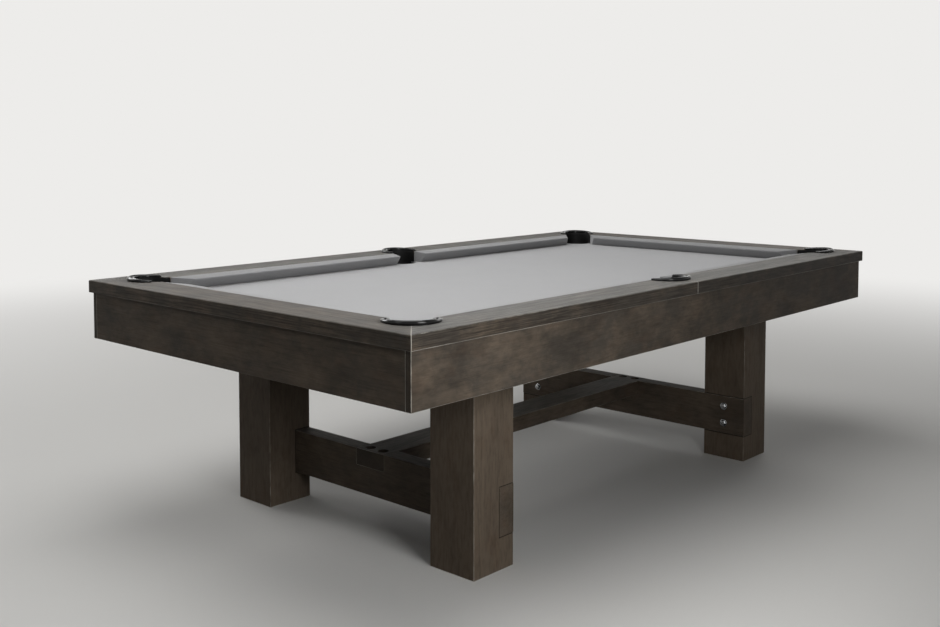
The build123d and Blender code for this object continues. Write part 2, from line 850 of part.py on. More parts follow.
with BuildPart() as stretcher:
    with BuildSketch(upright(0, 0, stretcher_bottom)):
        Rectangle(beam_out_x * 2, stretcher_width)
    extrude(amount=stretcher_thickness)
    fillet(stretcher.edges().filter_by(Axis.X), stretcher_round)
    with Locations(*[(x, y, beam_top) for x, y in stretcher_bolt_places]):
        CounterBoreHole(
            radius=beam_bolt_radius + fit_gap,
            counter_bore_radius=stretcher_counterbore_radius,
            counter_bore_depth=stretcher_counterbore_depth,
            depth=stretcher_thickness,
        )
keep(stretcher, "centre_stretcher")

leg_beam_bolts = bolts(
    beam_bolt_places, beam_bolt_head_radius, beam_bolt_head_height, beam_bolt_radius, beam_bolt_length
)
keep(leg_beam_bolts, "leg_beam_bolts")

with BuildPart() as washers:
    for place in beam_bolt_places:
        with BuildSketch(place):
            Circle(washer_radius)
            Circle(beam_bolt_radius + 2 * fit_gap, mode=Mode.SUBTRACT)
        extrude(amount=-washer_thickness)
keep(washers, "leg_beam_washers")

stretcher_bolts = bolts(
    [upright(x, y, stretcher_bolt_seat) for x, y in stretcher_bolt_places],
    beam_bolt_head_radius,
    beam_bolt_head_height,
    beam_bolt_radius,
    stretcher_bolt_length,
)
keep(stretcher_bolts, "stretcher_bolts")

# Levellers: a nut pressed into the leg's end, a stem with a hexagon that turns in it,
# and a pad that holds the stem's foot loosely, so that it goes down without turning
stem_foot_z = pad_lift + pad_floor + stem_gap
stem_hex_z = pad_lift + pad_height + stem_gap
with BuildPart() as nuts:
    for sx in ends.values():
        for sy in sides.values():
            with BuildSketch(upright(sx * leg_x, sy * leg_y, nut_seat)):
                Circle(nut_flange_radius)
                Circle(stem_radius + stem_gap, mode=Mode.SUBTRACT)
            extrude(amount=-nut_flange_thickness)
            with BuildSketch(upright(sx * leg_x, sy * leg_y, nut_seat)):
                Circle(nut_barrel_radius)
                Circle(stem_radius + stem_gap, mode=Mode.SUBTRACT)
            extrude(amount=nut_barrel_length)
keep(nuts, "leveller_nuts")

for end, sx in ends.items():
    for side, sy in sides.items():
        axis = Axis((sx * leg_x, sy * leg_y, 0), (0, 0, 1))
        profile = Plane(origin=(sx * leg_x, sy * leg_y, pad_lift), x_dir=(1, 0, 0), z_dir=(0, -1, 0))
        with BuildPart() as pad:
            with BuildSketch(profile):
                with BuildLine():
                    Polyline(
                        (0, 0),
                        (pad_radius, 0),
                        (pad_radius, pad_base_height),
                        (pad_hub_radius, pad_height),
                        (stem_radius + stem_gap, pad_height),
                        (stem_radius + stem_gap, pad_floor + stem_foot_height + 2 * stem_gap),
                        (stem_foot_radius + stem_gap, pad_floor + stem_foot_height + 2 * stem_gap),
                        (stem_foot_radius + stem_gap, pad_floor),
                        (0, pad_floor),
                        close=True,
                    )
                make_face()
            revolve(axis=axis)
        keep(pad, f"leveller_pad_{end}_{side}")

        with BuildPart() as stem:
            with BuildSketch(upright(sx * leg_x, sy * leg_y, stem_foot_z)):
                Circle(stem_foot_radius)
            extrude(amount=stem_foot_height)
            with BuildSketch(upright(sx * leg_x, sy * leg_y, stem_foot_z)):
                Circle(stem_radius)
            extrude(amount=stem_length)
            with BuildSketch(upright(sx * leg_x, sy * leg_y, stem_hex_z)):
                RegularPolygon(stem_hex_flats / 2, 6, major_radius=False)
            extrude(amount=stem_hex_height)
        keep(stem, f"leveller_stem_{end}_{side}")
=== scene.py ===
import math

import bmesh
import bpy
import numpy as np
from bpy.props import FloatProperty, FloatVectorProperty, PointerProperty
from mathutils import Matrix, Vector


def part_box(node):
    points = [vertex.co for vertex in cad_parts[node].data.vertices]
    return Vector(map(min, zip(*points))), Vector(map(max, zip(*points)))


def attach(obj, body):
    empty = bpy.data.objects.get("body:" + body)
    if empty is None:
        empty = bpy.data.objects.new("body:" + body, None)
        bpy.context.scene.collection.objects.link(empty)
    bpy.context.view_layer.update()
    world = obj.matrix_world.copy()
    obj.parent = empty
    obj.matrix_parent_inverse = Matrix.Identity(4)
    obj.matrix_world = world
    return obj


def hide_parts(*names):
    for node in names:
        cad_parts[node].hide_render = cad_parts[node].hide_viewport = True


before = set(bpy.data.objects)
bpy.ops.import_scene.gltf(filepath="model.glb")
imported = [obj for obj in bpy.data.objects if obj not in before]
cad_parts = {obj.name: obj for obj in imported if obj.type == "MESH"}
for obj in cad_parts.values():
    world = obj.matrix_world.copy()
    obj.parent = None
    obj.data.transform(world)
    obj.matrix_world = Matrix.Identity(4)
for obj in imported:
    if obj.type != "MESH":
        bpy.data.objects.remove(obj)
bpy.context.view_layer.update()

bl_info = {
    "name": "Pool table looks",
    "version": (1, 0, 0),
    "blender": (4, 5, 0),
    "location": "3D View > Sidebar > Pool table",
    "description": "Dresses the packed pool table in cloth, leather, stained wood and steel",
    "category": "Object",
}

MM = 0.001

# Levels and lines of the table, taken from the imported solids
NOSE_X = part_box("cushion_cloth_foot")[0].x
NOSE_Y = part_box("cushion_cloth_foot_left")[0].y
RAIL_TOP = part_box("rail_head")[1].z
HALF_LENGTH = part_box("rail_foot")[1].x
HALF_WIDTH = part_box("rail_foot")[1].y
BED_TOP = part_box("bed_cloth")[1].z
SLATE_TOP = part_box("slate_foot")[1].z
SLATE_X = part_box("slate_foot")[1].x
SLATE_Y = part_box("slate_foot")[1].y
BOOT_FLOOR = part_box("side_pocket_boots")[0].z
APRON_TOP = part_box("apron_left")[1].z

ENDS = {"head": -1, "foot": 1}
SIDES = {"left": 1, "right": -1}
CORNERS = [f"{end}_{side}" for end in ENDS for side in SIDES]


def linear(code):
    """Turns an sRGB hex colour into the linear one that a shader takes."""
    part = np.array([int(code[k:k + 2], 16) for k in (1, 3, 5)]) / 255
    bent = np.where(part <= 0.04045, part / 12.92, ((part + 0.055) / 1.055) ** 2.4)
    return tuple(float(x) for x in bent)


class PoolTableSizes(bpy.types.PropertyGroup):
    """Sizes of the soft and bright pieces that are made here."""

    cushion_width: FloatProperty(
        name="Cushion width", description="From the nose to the wood", default=0.056, unit="LENGTH")
    cushion_fall: FloatProperty(
        name="Cushion fall", description="Of the nose below the wood", default=0.007, unit="LENGTH")
    cushion_undercut: FloatProperty(
        name="Undercut", description="Of the face, back to the bed", default=0.028, unit="LENGTH")
    corner_mouth: FloatProperty(
        name="Corner mouth", description="From nose corner to jaw tip", default=0.088, unit="LENGTH")
    corner_throat: FloatProperty(
        name="Corner throat", description="From nose corner to jaw at the wood", default=0.0274,
        unit="LENGTH")
    side_mouth: FloatProperty(
        name="Side mouth", description="Half the side pocket's mouth", default=0.073, unit="LENGTH")
    side_throat: FloatProperty(
        name="Side throat", description="Half the side pocket at the wood", default=0.059, unit="LENGTH")
    corner_setback: FloatProperty(
        name="Corner setback", description="Of the pocket behind both noses", default=0.047, unit="LENGTH")
    side_setback: FloatProperty(
        name="Side setback", description="Of the pocket behind the nose", default=0.073, unit="LENGTH")
    pocket_radius: FloatProperty(
        name="Pocket radius", description="Inside the boot", default=0.0555, unit="LENGTH")
    boot_wall: FloatProperty(
        name="Boot wall", description="Thickness of the boot's leather", default=0.0032, unit="LENGTH")
    rim_width: FloatProperty(
        name="Rim width", description="Across the rim", default=0.0235, unit="LENGTH")
    rim_height: FloatProperty(
        name="Rim height", description="Of the rim's back above the wood", default=0.0133, unit="LENGTH")
    rim_toe_height: FloatProperty(
        name="Rim toe height", description="Of the toes above the wood", default=0.0059, unit="LENGTH")
    rim_arm: FloatProperty(
        name="Rim arm", description="Straight part towards the table", default=0.015, unit="LENGTH")
    rim_toe_round: FloatProperty(
        name="Rim toe round", description="Of the toes' outer corners", default=0.012, unit="LENGTH")
    # Pale edges: rubbed wear and painted highlight
    wear_and_highlight_width: FloatProperty(
        name="Edge wear and highlight", description="Width of the boards' pale edges", default=0.0022, unit="LENGTH")
    thread_pitch: FloatProperty(
        name="Thread pitch", description="Of the leveller stems", default=0.0015, unit="LENGTH")


class PoolTableColours(bpy.types.PropertyGroup):
    """Colours of the finishes."""

    stain: FloatVectorProperty(
        name="Stain", description="Dark walnut stain", subtype="COLOR", default=linear("#4B453E"))
    stain_warm: FloatVectorProperty(
        name="Warm stain", description="Where less stain took", subtype="COLOR", default=linear("#6A5E51"))
    stain_red: FloatVectorProperty(
        name="Red stain", description="Where the wood under the glaze shows", subtype="COLOR",
        default=linear("#5B493B"))
    # Deep stain, also laid as painted shadow in the joint line round the beams' ends in the legs
    deep_stain_and_shadow: FloatVectorProperty(
        name="Deep stain and shadow", description="In grain and end grain", subtype="COLOR", default=linear("#211D18"))
    # Painted sheen: the grey laid on upward faces for their reflection at low angles
    top_sheen_grey: FloatVectorProperty(
        name="Painted top sheen", description="Painted sheen on the tops", subtype="COLOR", default=linear("#9A9992"))
    # Pale edges: rubbed wear, and painted highlight where an edge catches the light
    worn_and_lit_wood: FloatVectorProperty(
        name="Rubbed edge and highlight", description="Pale wood of rubbed edges and painted highlights", subtype="COLOR", default=linear("#C3BEB4"))
    raw_wood: FloatVectorProperty(
        name="Frame timber", description="Planed timber of the hidden frame", subtype="COLOR",
        default=linear("#8A6F52"))
    bed: FloatVectorProperty(
        name="Bed cloth", description="Grey worsted cloth", subtype="COLOR", default=linear("#B2B2B3"))
    # Painted shade: the bed's cloth made darker, for the shade on the cushions' faces and tops
    cushion: FloatVectorProperty(
        name="Cushion cloth", description="The same cloth on the cushions", subtype="COLOR",
        default=linear("#888889"))
    leather: FloatVectorProperty(
        name="Leather", description="Black rims and boots", subtype="COLOR", default=linear("#080808"))
    slate: FloatVectorProperty(
        name="Slate", description="Sawn slate", subtype="COLOR", default=linear("#565A5D"))
    steel: FloatVectorProperty(
        name="Steel", description="Bright bolts", subtype="COLOR", default=linear("#ACADAE"))
    floor: FloatVectorProperty(
        name="Floor", description="Plain pale floor", subtype="COLOR", default=linear("#D6D5D2"))


# Meshes


def net(points, around=True, capped=True, ring=False):
    """A grid of points (rows, columns, 3) as points, face corners and face sizes.

    Each face joins a point to the next in its row and to the same two of the next row. Around closes
    each row into a loop, capped shuts the end rows with a face, ring joins the last row to the first."""
    rows, columns = points.shape[:2]
    index = np.arange(rows * columns).reshape(rows, columns)
    beside, above = np.roll(index, -1, axis=1), np.roll(index, -1, axis=0)
    both = np.roll(beside, -1, axis=0)
    quads = np.stack([index, beside, both, above], axis=-1)
    quads = quads[:None if ring else -1, :None if around else -1].reshape(-1, 4)
    corners, sizes = [quads.ravel()], [np.full(len(quads), 4)]
    if capped:
        corners += [index[0, ::-1], index[-1]]
        sizes += [np.array([columns, columns])]
    return points.reshape(-1, 3), np.concatenate(corners), np.concatenate(sizes)


def make(name, nets, material, body="table", stands_for=(), crease=40.0):
    """Makes one object of several nets, with its faces turned outwards, riding on a body."""
    starts = np.cumsum([0] + [len(points) for points, _, _ in nets])
    points = np.concatenate([points for points, _, _ in nets])
    corners = np.concatenate([corner + start for (_, corner, _), start in zip(nets, starts)])
    sizes = np.concatenate([size for _, _, size in nets])
    mesh = bpy.data.meshes.new(name)
    mesh.vertices.add(len(points))
    mesh.vertices.foreach_set("co", points.astype(np.float32).ravel())
    mesh.loops.add(len(corners))
    mesh.loops.foreach_set("vertex_index", corners.astype(np.int32))
    mesh.polygons.add(len(sizes))
    mesh.polygons.foreach_set("loop_start", (np.cumsum(sizes) - sizes).astype(np.int32))
    mesh.update(calc_edges=True)
    if mesh.validate():
        raise RuntimeError(f"{name}: a face of its mesh is wrong")
    shell = bmesh.new()
    shell.from_mesh(mesh)
    bmesh.ops.recalc_face_normals(shell, faces=shell.faces)
    shell.to_mesh(mesh)
    shell.free()
    mesh.shade_smooth()
    mesh.set_sharp_from_angle(angle=math.radians(crease))
    mesh.materials.append(material)
    piece = bpy.data.objects.new(name, mesh)
    bpy.context.scene.collection.objects.link(piece)
    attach(piece, body)
    if stands_for:
        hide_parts(*stands_for)
    return piece


def rounded(corners, reach, steps=7):
    """A closed outline whose corners are eased. Round each corner c, from a point at its reach before it
    to one at its reach after it, it follows (1-t)(1-t) a + 2t(1-t) c + t t b."""
    corner = np.array(corners, float)
    before, after = np.roll(corner, 1, axis=0) - corner, np.roll(corner, -1, axis=0) - corner
    reach = np.array(reach, float)[:, None]
    a = corner + before / np.linalg.norm(before, axis=1, keepdims=True) * reach
    b = corner + after / np.linalg.norm(after, axis=1, keepdims=True) * reach
    t = np.linspace(0, 1, steps)[None, :, None]
    bent = (1 - t) ** 2 * a[:, None] + 2 * t * (1 - t) * corner[:, None] + t ** 2 * b[:, None]
    return bent.reshape(-1, 2)


def square_to(outline):
    """Unit directions out of a closed outline that runs counter-clockwise: the step between each
    point's two neighbours, turned a quarter to the right."""
    step = np.roll(outline, -1, axis=0) - np.roll(outline, 1, axis=0)
    out = np.stack([step[:, 1], -step[:, 0]], axis=1)
    return out / np.linalg.norm(out, axis=1, keepdims=True)


def turned(profile, count):
    """A closed profile (distance from the axis, height) carried once round the vertical axis."""
    angle = np.linspace(0, 2 * math.pi, count, endpoint=False)[None, :]
    away, height = profile[:, :1], profile[:, 1:]
    return np.stack([away * np.cos(angle), away * np.sin(angle), height + 0 * angle], axis=-1)


def hexagon_head(radius, tall):
    """A bolt head: a hexagon whose sides lie at flat / cos a from the axis, with a counted from the
    middle of each side, turned down at 30 degrees to a round face with a slight dome."""
    angle = np.linspace(0, 2 * math.pi, 72, endpoint=False)
    flat = radius * math.cos(math.pi / 6)
    side = flat / np.cos(np.mod(angle, math.pi / 3) - math.pi / 6)
    away = np.stack([side, side, *[0 * side + share * flat for share in (0.97, 0.9, 0.45, 0.05)]])
    fall = (side - 0.97 * flat) * math.tan(math.pi / 6)
    dome = np.array([0, 0, 0, 0.25, 0.5, 0.6])[:, None] * MM
    height = np.stack([0 * side, tall - fall, *[0 * side + tall] * 4]) + dome - 0.6 * MM
    height[0] = 0
    return np.stack([away * np.cos(angle), away * np.sin(angle), height], axis=-1)


def pockets(sizes):
    """Each pocket's name, kind, centre and the level direction in which it opens outward."""
    found = []
    for side, sy in SIDES.items():
        for end, sx in ENDS.items():
            centre = np.array([sx * (NOSE_X + sizes.corner_setback), sy * (NOSE_Y + sizes.corner_setback)])
            found.append((f"{end}_{side}", "corner", centre, np.array([sx, sy]) / math.sqrt(2)))
        centre = np.array([0, sy * (NOSE_Y + sizes.side_setback)])
        found.append((f"middle_{side}", "side", centre, np.array([0.0, sy])))
    return found


def horseshoe_path(straight, steps):
    """Where a horseshoe's points start from and at which angle: in along one arm, whose places straight
    gives, half round the pocket and out along the other arm."""
    sweep = np.linspace(math.pi / 2, -math.pi / 2, steps)
    start = np.concatenate([straight, 0 * sweep, straight[::-1]])[:, None]
    angle = np.concatenate([0 * straight + sweep[0], sweep, 0 * straight + sweep[-1]])[:, None]
    return start, angle


def horseshoe(centre, out, away, height, start, angle):
    """Points beside a horseshoe path: start counts along the pocket's axis from its centre, and a point
    lies at a distance away from there at an angle, at a height."""
    across = np.array([-out[1], out[0]])
    along = start + away * np.cos(angle)
    beside = away * np.sin(angle)
    level = centre + along[..., None] * out + beside[..., None] * across
    return np.concatenate([level, (height + 0 * along)[..., None]], axis=-1)


# Materials


def add(tree, kind, inputs=(), **settings):
    """Adds a node, sets its properties and fills its inputs by name or number: another node's output
    is linked, and anything else is set. Gives the node's outputs. Inputs 1 to 4 of a Map Range are the
    two values that it maps from and the two that it maps to; 6 and 7 of a Mix are its two colours."""
    made = tree.nodes.new(kind)
    for name, value in settings.items():
        setattr(made, name, value)
    for name, value in dict(inputs).items():
        if isinstance(value, bpy.types.NodeSocket):
            tree.links.new(value, made.inputs[name])
        else:
            made.inputs[name].default_value = value
    return made.outputs


def blank(name):
    """A material with an empty node tree."""
    made = bpy.data.materials.new(name)
    made.use_nodes = True
    made.node_tree.nodes.clear()
    return made, made.node_tree


def opaque(colour):
    """A colour with full cover, as a colour socket takes it."""
    return (*colour, 1.0)


def edge_nearness(tree, place, low, high, mitred):
    """How far a point on a board lies from the board's nearest edge: the middle one of its distances
    from the three pairs of faces. Boards that mirror each other share one box, so places count as
    positive. On mitred rails the distance from the mitre counts too, and its pale line is nearly twice
    as wide."""
    low, high = np.array(low), np.array(high)
    positive = add(tree, "ShaderNodeVectorMath", {0: place}, operation="ABSOLUTE")[0]
    middle = add(tree, "ShaderNodeVectorMath", {0: positive, 1: (low + high) / 2}, operation="SUBTRACT")[0]
    away = add(tree, "ShaderNodeVectorMath", {0: middle}, operation="ABSOLUTE")[0]
    inside = add(tree, "ShaderNodeVectorMath", {0: (high - low) / 2, 1: away}, operation="SUBTRACT")[0]
    x, y, z = add(tree, "ShaderNodeSeparateXYZ", {0: inside})
    less = add(tree, "ShaderNodeMath", {0: x, 1: y}, operation="MINIMUM")[0]
    more = add(tree, "ShaderNodeMath", {0: x, 1: y}, operation="MAXIMUM")[0]
    upper = add(tree, "ShaderNodeMath", {0: more, 1: z}, operation="MINIMUM")[0]
    nearness = add(tree, "ShaderNodeMath", {0: less, 1: upper}, operation="MAXIMUM")[0]
    if mitred:
        px, py, _ = add(tree, "ShaderNodeSeparateXYZ", {0: positive})
        gap = add(tree, "ShaderNodeMath", {0: px, 1: py}, operation="SUBTRACT")[0]
        gap = add(tree, "ShaderNodeMath", {0: gap, 1: HALF_LENGTH - HALF_WIDTH}, operation="SUBTRACT")[0]
        gap = add(tree, "ShaderNodeMath", {0: gap}, operation="ABSOLUTE")[0]
        gap = add(tree, "ShaderNodeMath", {0: gap, 1: 0.55}, operation="MULTIPLY")[0]
        nearness = add(tree, "ShaderNodeMath", {0: nearness, 1: gap}, operation="MINIMUM")[0]
    return nearness


def worn_and_lit_edges(tree, place, low, high, wear_and_highlight, cornered, mitred):
    """Share of pale wood along the edges of a board: rubbed wear, and painted highlight where an edge
    catches the light. Its width changes every 30 mm or so, its strength every 200 mm. Cornered boards,
    the side rails, are palest at the table's corners, and along some 4 mm where two of them butt."""
    nearness = edge_nearness(tree, place, low, high, mitred)
    pale_width = bpy.context.scene.pool_table_sizes.wear_and_highlight_width
    nick = add(tree, "ShaderNodeTexNoise", {"Vector": place, "Scale": 34.0, "Detail": 3.0})[0]
    width = add(tree, "ShaderNodeMapRange", {0: nick, 1: 0.3, 2: 0.7, 3: 0.55 * pale_width, 4: 1.1 * pale_width})[0]
    pale_share = add(tree, "ShaderNodeMath", {0: nearness, 1: width}, operation="DIVIDE")[0]
    pale_share = add(tree, "ShaderNodeMapRange", {0: pale_share, 1: 0.5, 2: 1.0, 3: 1.0, 4: 0.0})[0]
    hand = add(tree, "ShaderNodeTexNoise", {"Vector": place, "Scale": 1 / (200 * MM), "Detail": 2.0})[0]
    hand = add(tree, "ShaderNodeMapRange", {0: hand, 1: 0.35, 2: 0.65, 3: 0.45 * wear_and_highlight, 4: wear_and_highlight})[0]
    pale_share = add(tree, "ShaderNodeMath", {0: pale_share, 1: hand}, operation="MULTIPLY")[0]
    if cornered:
        along = add(tree, "ShaderNodeSeparateXYZ", {0: place})[0]
        along = add(tree, "ShaderNodeMath", {0: along}, operation="ABSOLUTE")[0]
        most = add(tree, "ShaderNodeMapRange", {0: along, 1: 0.5, 2: 1.25, 3: 1 - cornered, 4: 1.0})[0]
        pale_share = add(tree, "ShaderNodeMath", {0: pale_share, 1: most}, operation="MULTIPLY")[0]
        butted = add(tree, "ShaderNodeMapRange", {0: along, 1: 1 * MM, 2: 3 * MM, 3: 0.6, 4: 0.0})[0]
        pale_share = add(tree, "ShaderNodeMath", {0: pale_share, 1: butted}, operation="MAXIMUM")[0]
    return pale_share


def housing_line(tree, place, wide, bottom, top):
    """Share of dark colour in a line, 3 mm wide, round a beam's end where it is let into a leg: stain
    collected in the joint and painted shadow of its gap. It is the larger of a point's distances past the
    beam's side and past its bottom or top."""
    positive = add(tree, "ShaderNodeVectorMath", {0: place}, operation="ABSOLUTE")[0]
    x, _, z = add(tree, "ShaderNodeSeparateXYZ", {0: positive})
    past_x = add(tree, "ShaderNodeMath", {0: x, 1: wide}, operation="SUBTRACT")[0]
    past_z = add(tree, "ShaderNodeMath", {0: z, 1: (bottom + top) / 2}, operation="SUBTRACT")[0]
    past_z = add(tree, "ShaderNodeMath", {0: past_z}, operation="ABSOLUTE")[0]
    past_z = add(tree, "ShaderNodeMath", {0: past_z, 1: (top - bottom) / 2}, operation="SUBTRACT")[0]
    past = add(tree, "ShaderNodeMath", {0: past_x, 1: past_z}, operation="MAXIMUM")[0]
    return add(tree, "ShaderNodeMapRange", {0: past, 1: 2.4 * MM, 2: 3.6 * MM, 3: 0.9, 4: 0.0})[0]


def stained_wood(name, grain, low, high, streaked=0.3, ringed=0.12, painted_top_sheen=0.0, warmth=0.0, ends=0.5,
                 wear_and_highlight=0.8, cornered=0.0, mitred=False, housing=None, dusty=0.0, seed=0.0):
    """Hardwood boards, planed, wire-brushed, glazed with a dark stain and lacquered dull. The eye sees
    cloudy patches of taupe and brown, faint dark streaks along the grain, pale edges of rubbed wear and
    painted highlight, and darker end grain; the tops of the rails carry a painted grey sheen and are
    more strongly figured, with a dull bloom at low angles."""
    colours = bpy.context.scene.pool_table_colours
    made, tree = blank(name)
    spot = add(tree, "ShaderNodeTexCoord")
    place, facing = spot["Object"], spot["Normal"]
    run = "XYZ".index(grain)

    # Noises drawn out along the grain, each with the length and width of its swells in millimetres and
    # with its detail, roughness and distortion: patches of glaze, red ones between them, pools of deeper
    # stain, flecks left by the brush, fibres, brushed-out bands and the swell of the growth lines. Fibres
    # are drawn coarser than real pores so that they show. The growth lines are about 20 mm apart.
    noises = {
        "patch": (150, 100, 8.0, 0.68, 0.2),
        "red": (100, 60, 6.0, 0.65, 0.0),
        "pool": (260, 120, 7.0, 0.62, 0.0),
        "fleck": (40, 9, 3.0, 0.6, 0.0),
        "fibre": (160, 3, 4.0, 0.65, 0.0),
        "band": (300, 24, 6.0, 0.68, 0.2),
        "growth": (500, 80, 3.0, 0.5, 0.6),
    }
    noise = {}
    for pattern, (long, wide, detail, rough, distortion) in noises.items():
        scale = [1 / (wide * MM)] * 3
        scale[run] = 1 / (long * MM)
        where = add(tree, "ShaderNodeMapping", {
            "Vector": place, "Scale": scale, "Location": [seed] * 3})[0]
        noise[pattern] = add(tree, "ShaderNodeTexNoise", {
            "Vector": where, "Scale": 1.0, "Detail": detail, "Roughness": rough,
            "Distortion": distortion})[0]

    # Shares of stain that they give: the two values of the noise, then the share at each
    spans = {
        "patch": (0.36, 0.66, warmth, 1.0),
        "red": (0.52, 0.72, 0.0, 0.42),
        "pool": (0.46, 0.74, 0.0, 0.6 - 0.4 * warmth),
        "fleck": (0.46, 0.74, 0.0, 0.3),
        "fibre": (0.5 - 0.1 * streaked, 0.74 - 0.1 * streaked, 0.0, streaked),
        "band": (0.48, 0.72, 0.0, 0.55),
    }
    share = {}
    for pattern, (first, last, least, most) in spans.items():
        share[pattern] = add(tree, "ShaderNodeMapRange", {
            0: noise[pattern], 1: first, 2: last, 3: least, 4: most})[0]

    # Tops get painted sheen, a grey that stands for their reflection at low angles, and brushed-out bands
    # and stronger growth lines
    up = add(tree, "ShaderNodeSeparateXYZ", {0: facing})[2]
    top = add(tree, "ShaderNodeMapRange", {0: up, 1: 0.5, 2: 0.95, 3: 0.0, 4: painted_top_sheen})[0]
    band = add(tree, "ShaderNodeMath", {0: share["band"], 1: top}, operation="MULTIPLY")[0]
    rings = add(tree, "ShaderNodeMath", {0: noise["growth"], 1: 28.0}, operation="MULTIPLY")[0]
    rings = add(tree, "ShaderNodeMath", {0: rings}, operation="SINE")[0]
    rings = add(tree, "ShaderNodeMapRange", {0: rings, 1: 0.5, 2: 1.0, 3: 0.0, 4: 1.0})[0]
    figure = add(tree, "ShaderNodeMath", {0: top, 1: 0.15, 2: ringed}, operation="MULTIPLY_ADD")[0]
    figure = add(tree, "ShaderNodeMath", {0: rings, 1: figure}, operation="MULTIPLY")[0]
    # End grain drinks more stain
    end = add(tree, "ShaderNodeVectorMath", {0: facing}, operation="ABSOLUTE")[0]
    end = add(tree, "ShaderNodeSeparateXYZ", {0: end})[run]
    end = add(tree, "ShaderNodeMapRange", {0: end, 1: 0.7, 2: 0.95, 3: 0.0, 4: ends})[0]

    # Layers of colour, each over the last
    layers = [
        (share["patch"], colours.stain_warm),
        (share["red"], colours.stain_red),
        (share["pool"], colours.deep_stain_and_shadow),
        # Painted sheen: grey on the upward faces
        (top, colours.top_sheen_grey),
        (share["fleck"], colours.deep_stain_and_shadow),
        (share["fibre"], colours.deep_stain_and_shadow),
        (band, colours.deep_stain_and_shadow),
        (figure, colours.deep_stain_and_shadow),
        (end, colours.deep_stain_and_shadow),
        # Pale edges: rubbed wear and painted highlight
        (worn_and_lit_edges(tree, place, low, high, wear_and_highlight, cornered, mitred), colours.worn_and_lit_wood),
    ]
    if housing:
        # Painted shadow of the gap, with collected stain, round the beams' ends in the legs
        layers.append((housing_line(tree, place, *housing), colours.deep_stain_and_shadow))
    tone = opaque(colours.stain)
    for amount, colour in layers:
        tone = add(tree, "ShaderNodeMix", {0: amount, 6: tone, 7: opaque(colour)}, data_type="RGBA")[2]

    fibre = noise["fibre"]
    gloss = add(tree, "ShaderNodeMapRange", {0: fibre, 1: 0.3, 2: 0.7, 3: 0.55, 4: 0.68})[0]
    ridge = add(tree, "ShaderNodeMath", {0: rings, 1: -0.45, 2: fibre}, operation="MULTIPLY_ADD")[0]
    bump = add(tree, "ShaderNodeBump", {
        "Height": ridge, "Strength": 0.3 + 0.4 * painted_top_sheen, "Distance": 0.8 * MM})[0]
    shader = add(tree, "ShaderNodeBsdfPrincipled", {
        "Base Color": tone, "Roughness": gloss, "Specular IOR Level": 0.15, "Sheen Weight": dusty,
        "Sheen Roughness": 0.35, "Normal": bump})[0]
    add(tree, "ShaderNodeOutputMaterial", {"Surface": shader})
    return made


def plain_timber(name, grain):
    """Softwood of the frame, planed and left unfinished. The eye sees yellow-brown early wood with
    darker growth lines some 9 mm apart, the level lines of a soft noise, and a dry, dull face."""
    colours = bpy.context.scene.pool_table_colours
    made, tree = blank(name)
    place = add(tree, "ShaderNodeTexCoord")["Object"]
    scale = [1 / (60 * MM)] * 3
    scale["XYZ".index(grain)] = 1 / (900 * MM)
    drawn = add(tree, "ShaderNodeMapping", {"Vector": place, "Scale": scale})[0]
    swell = add(tree, "ShaderNodeTexNoise", {
        "Vector": drawn, "Scale": 1.0, "Detail": 2.0, "Distortion": 0.4})[0]
    rings = add(tree, "ShaderNodeMath", {0: swell, 1: 48.0}, operation="MULTIPLY")[0]
    rings = add(tree, "ShaderNodeMath", {0: rings}, operation="SINE")[0]
    rings = add(tree, "ShaderNodeMapRange", {0: rings, 1: -0.4, 2: 1.0, 3: 0.0, 4: 0.5})[0]
    late_wood = linear("#5E452F")
    tone = add(tree, "ShaderNodeMix", {
        0: rings, 6: opaque(colours.raw_wood), 7: opaque(late_wood)}, data_type="RGBA")[2]
    bump = add(tree, "ShaderNodeBump", {"Height": rings, "Strength": 0.3, "Distance": 0.6 * MM})[0]
    shader = add(tree, "ShaderNodeBsdfPrincipled", {
        "Base Color": tone, "Roughness": 0.75, "Normal": bump})[0]
    add(tree, "ShaderNodeOutputMaterial", {"Surface": shader})
    return made


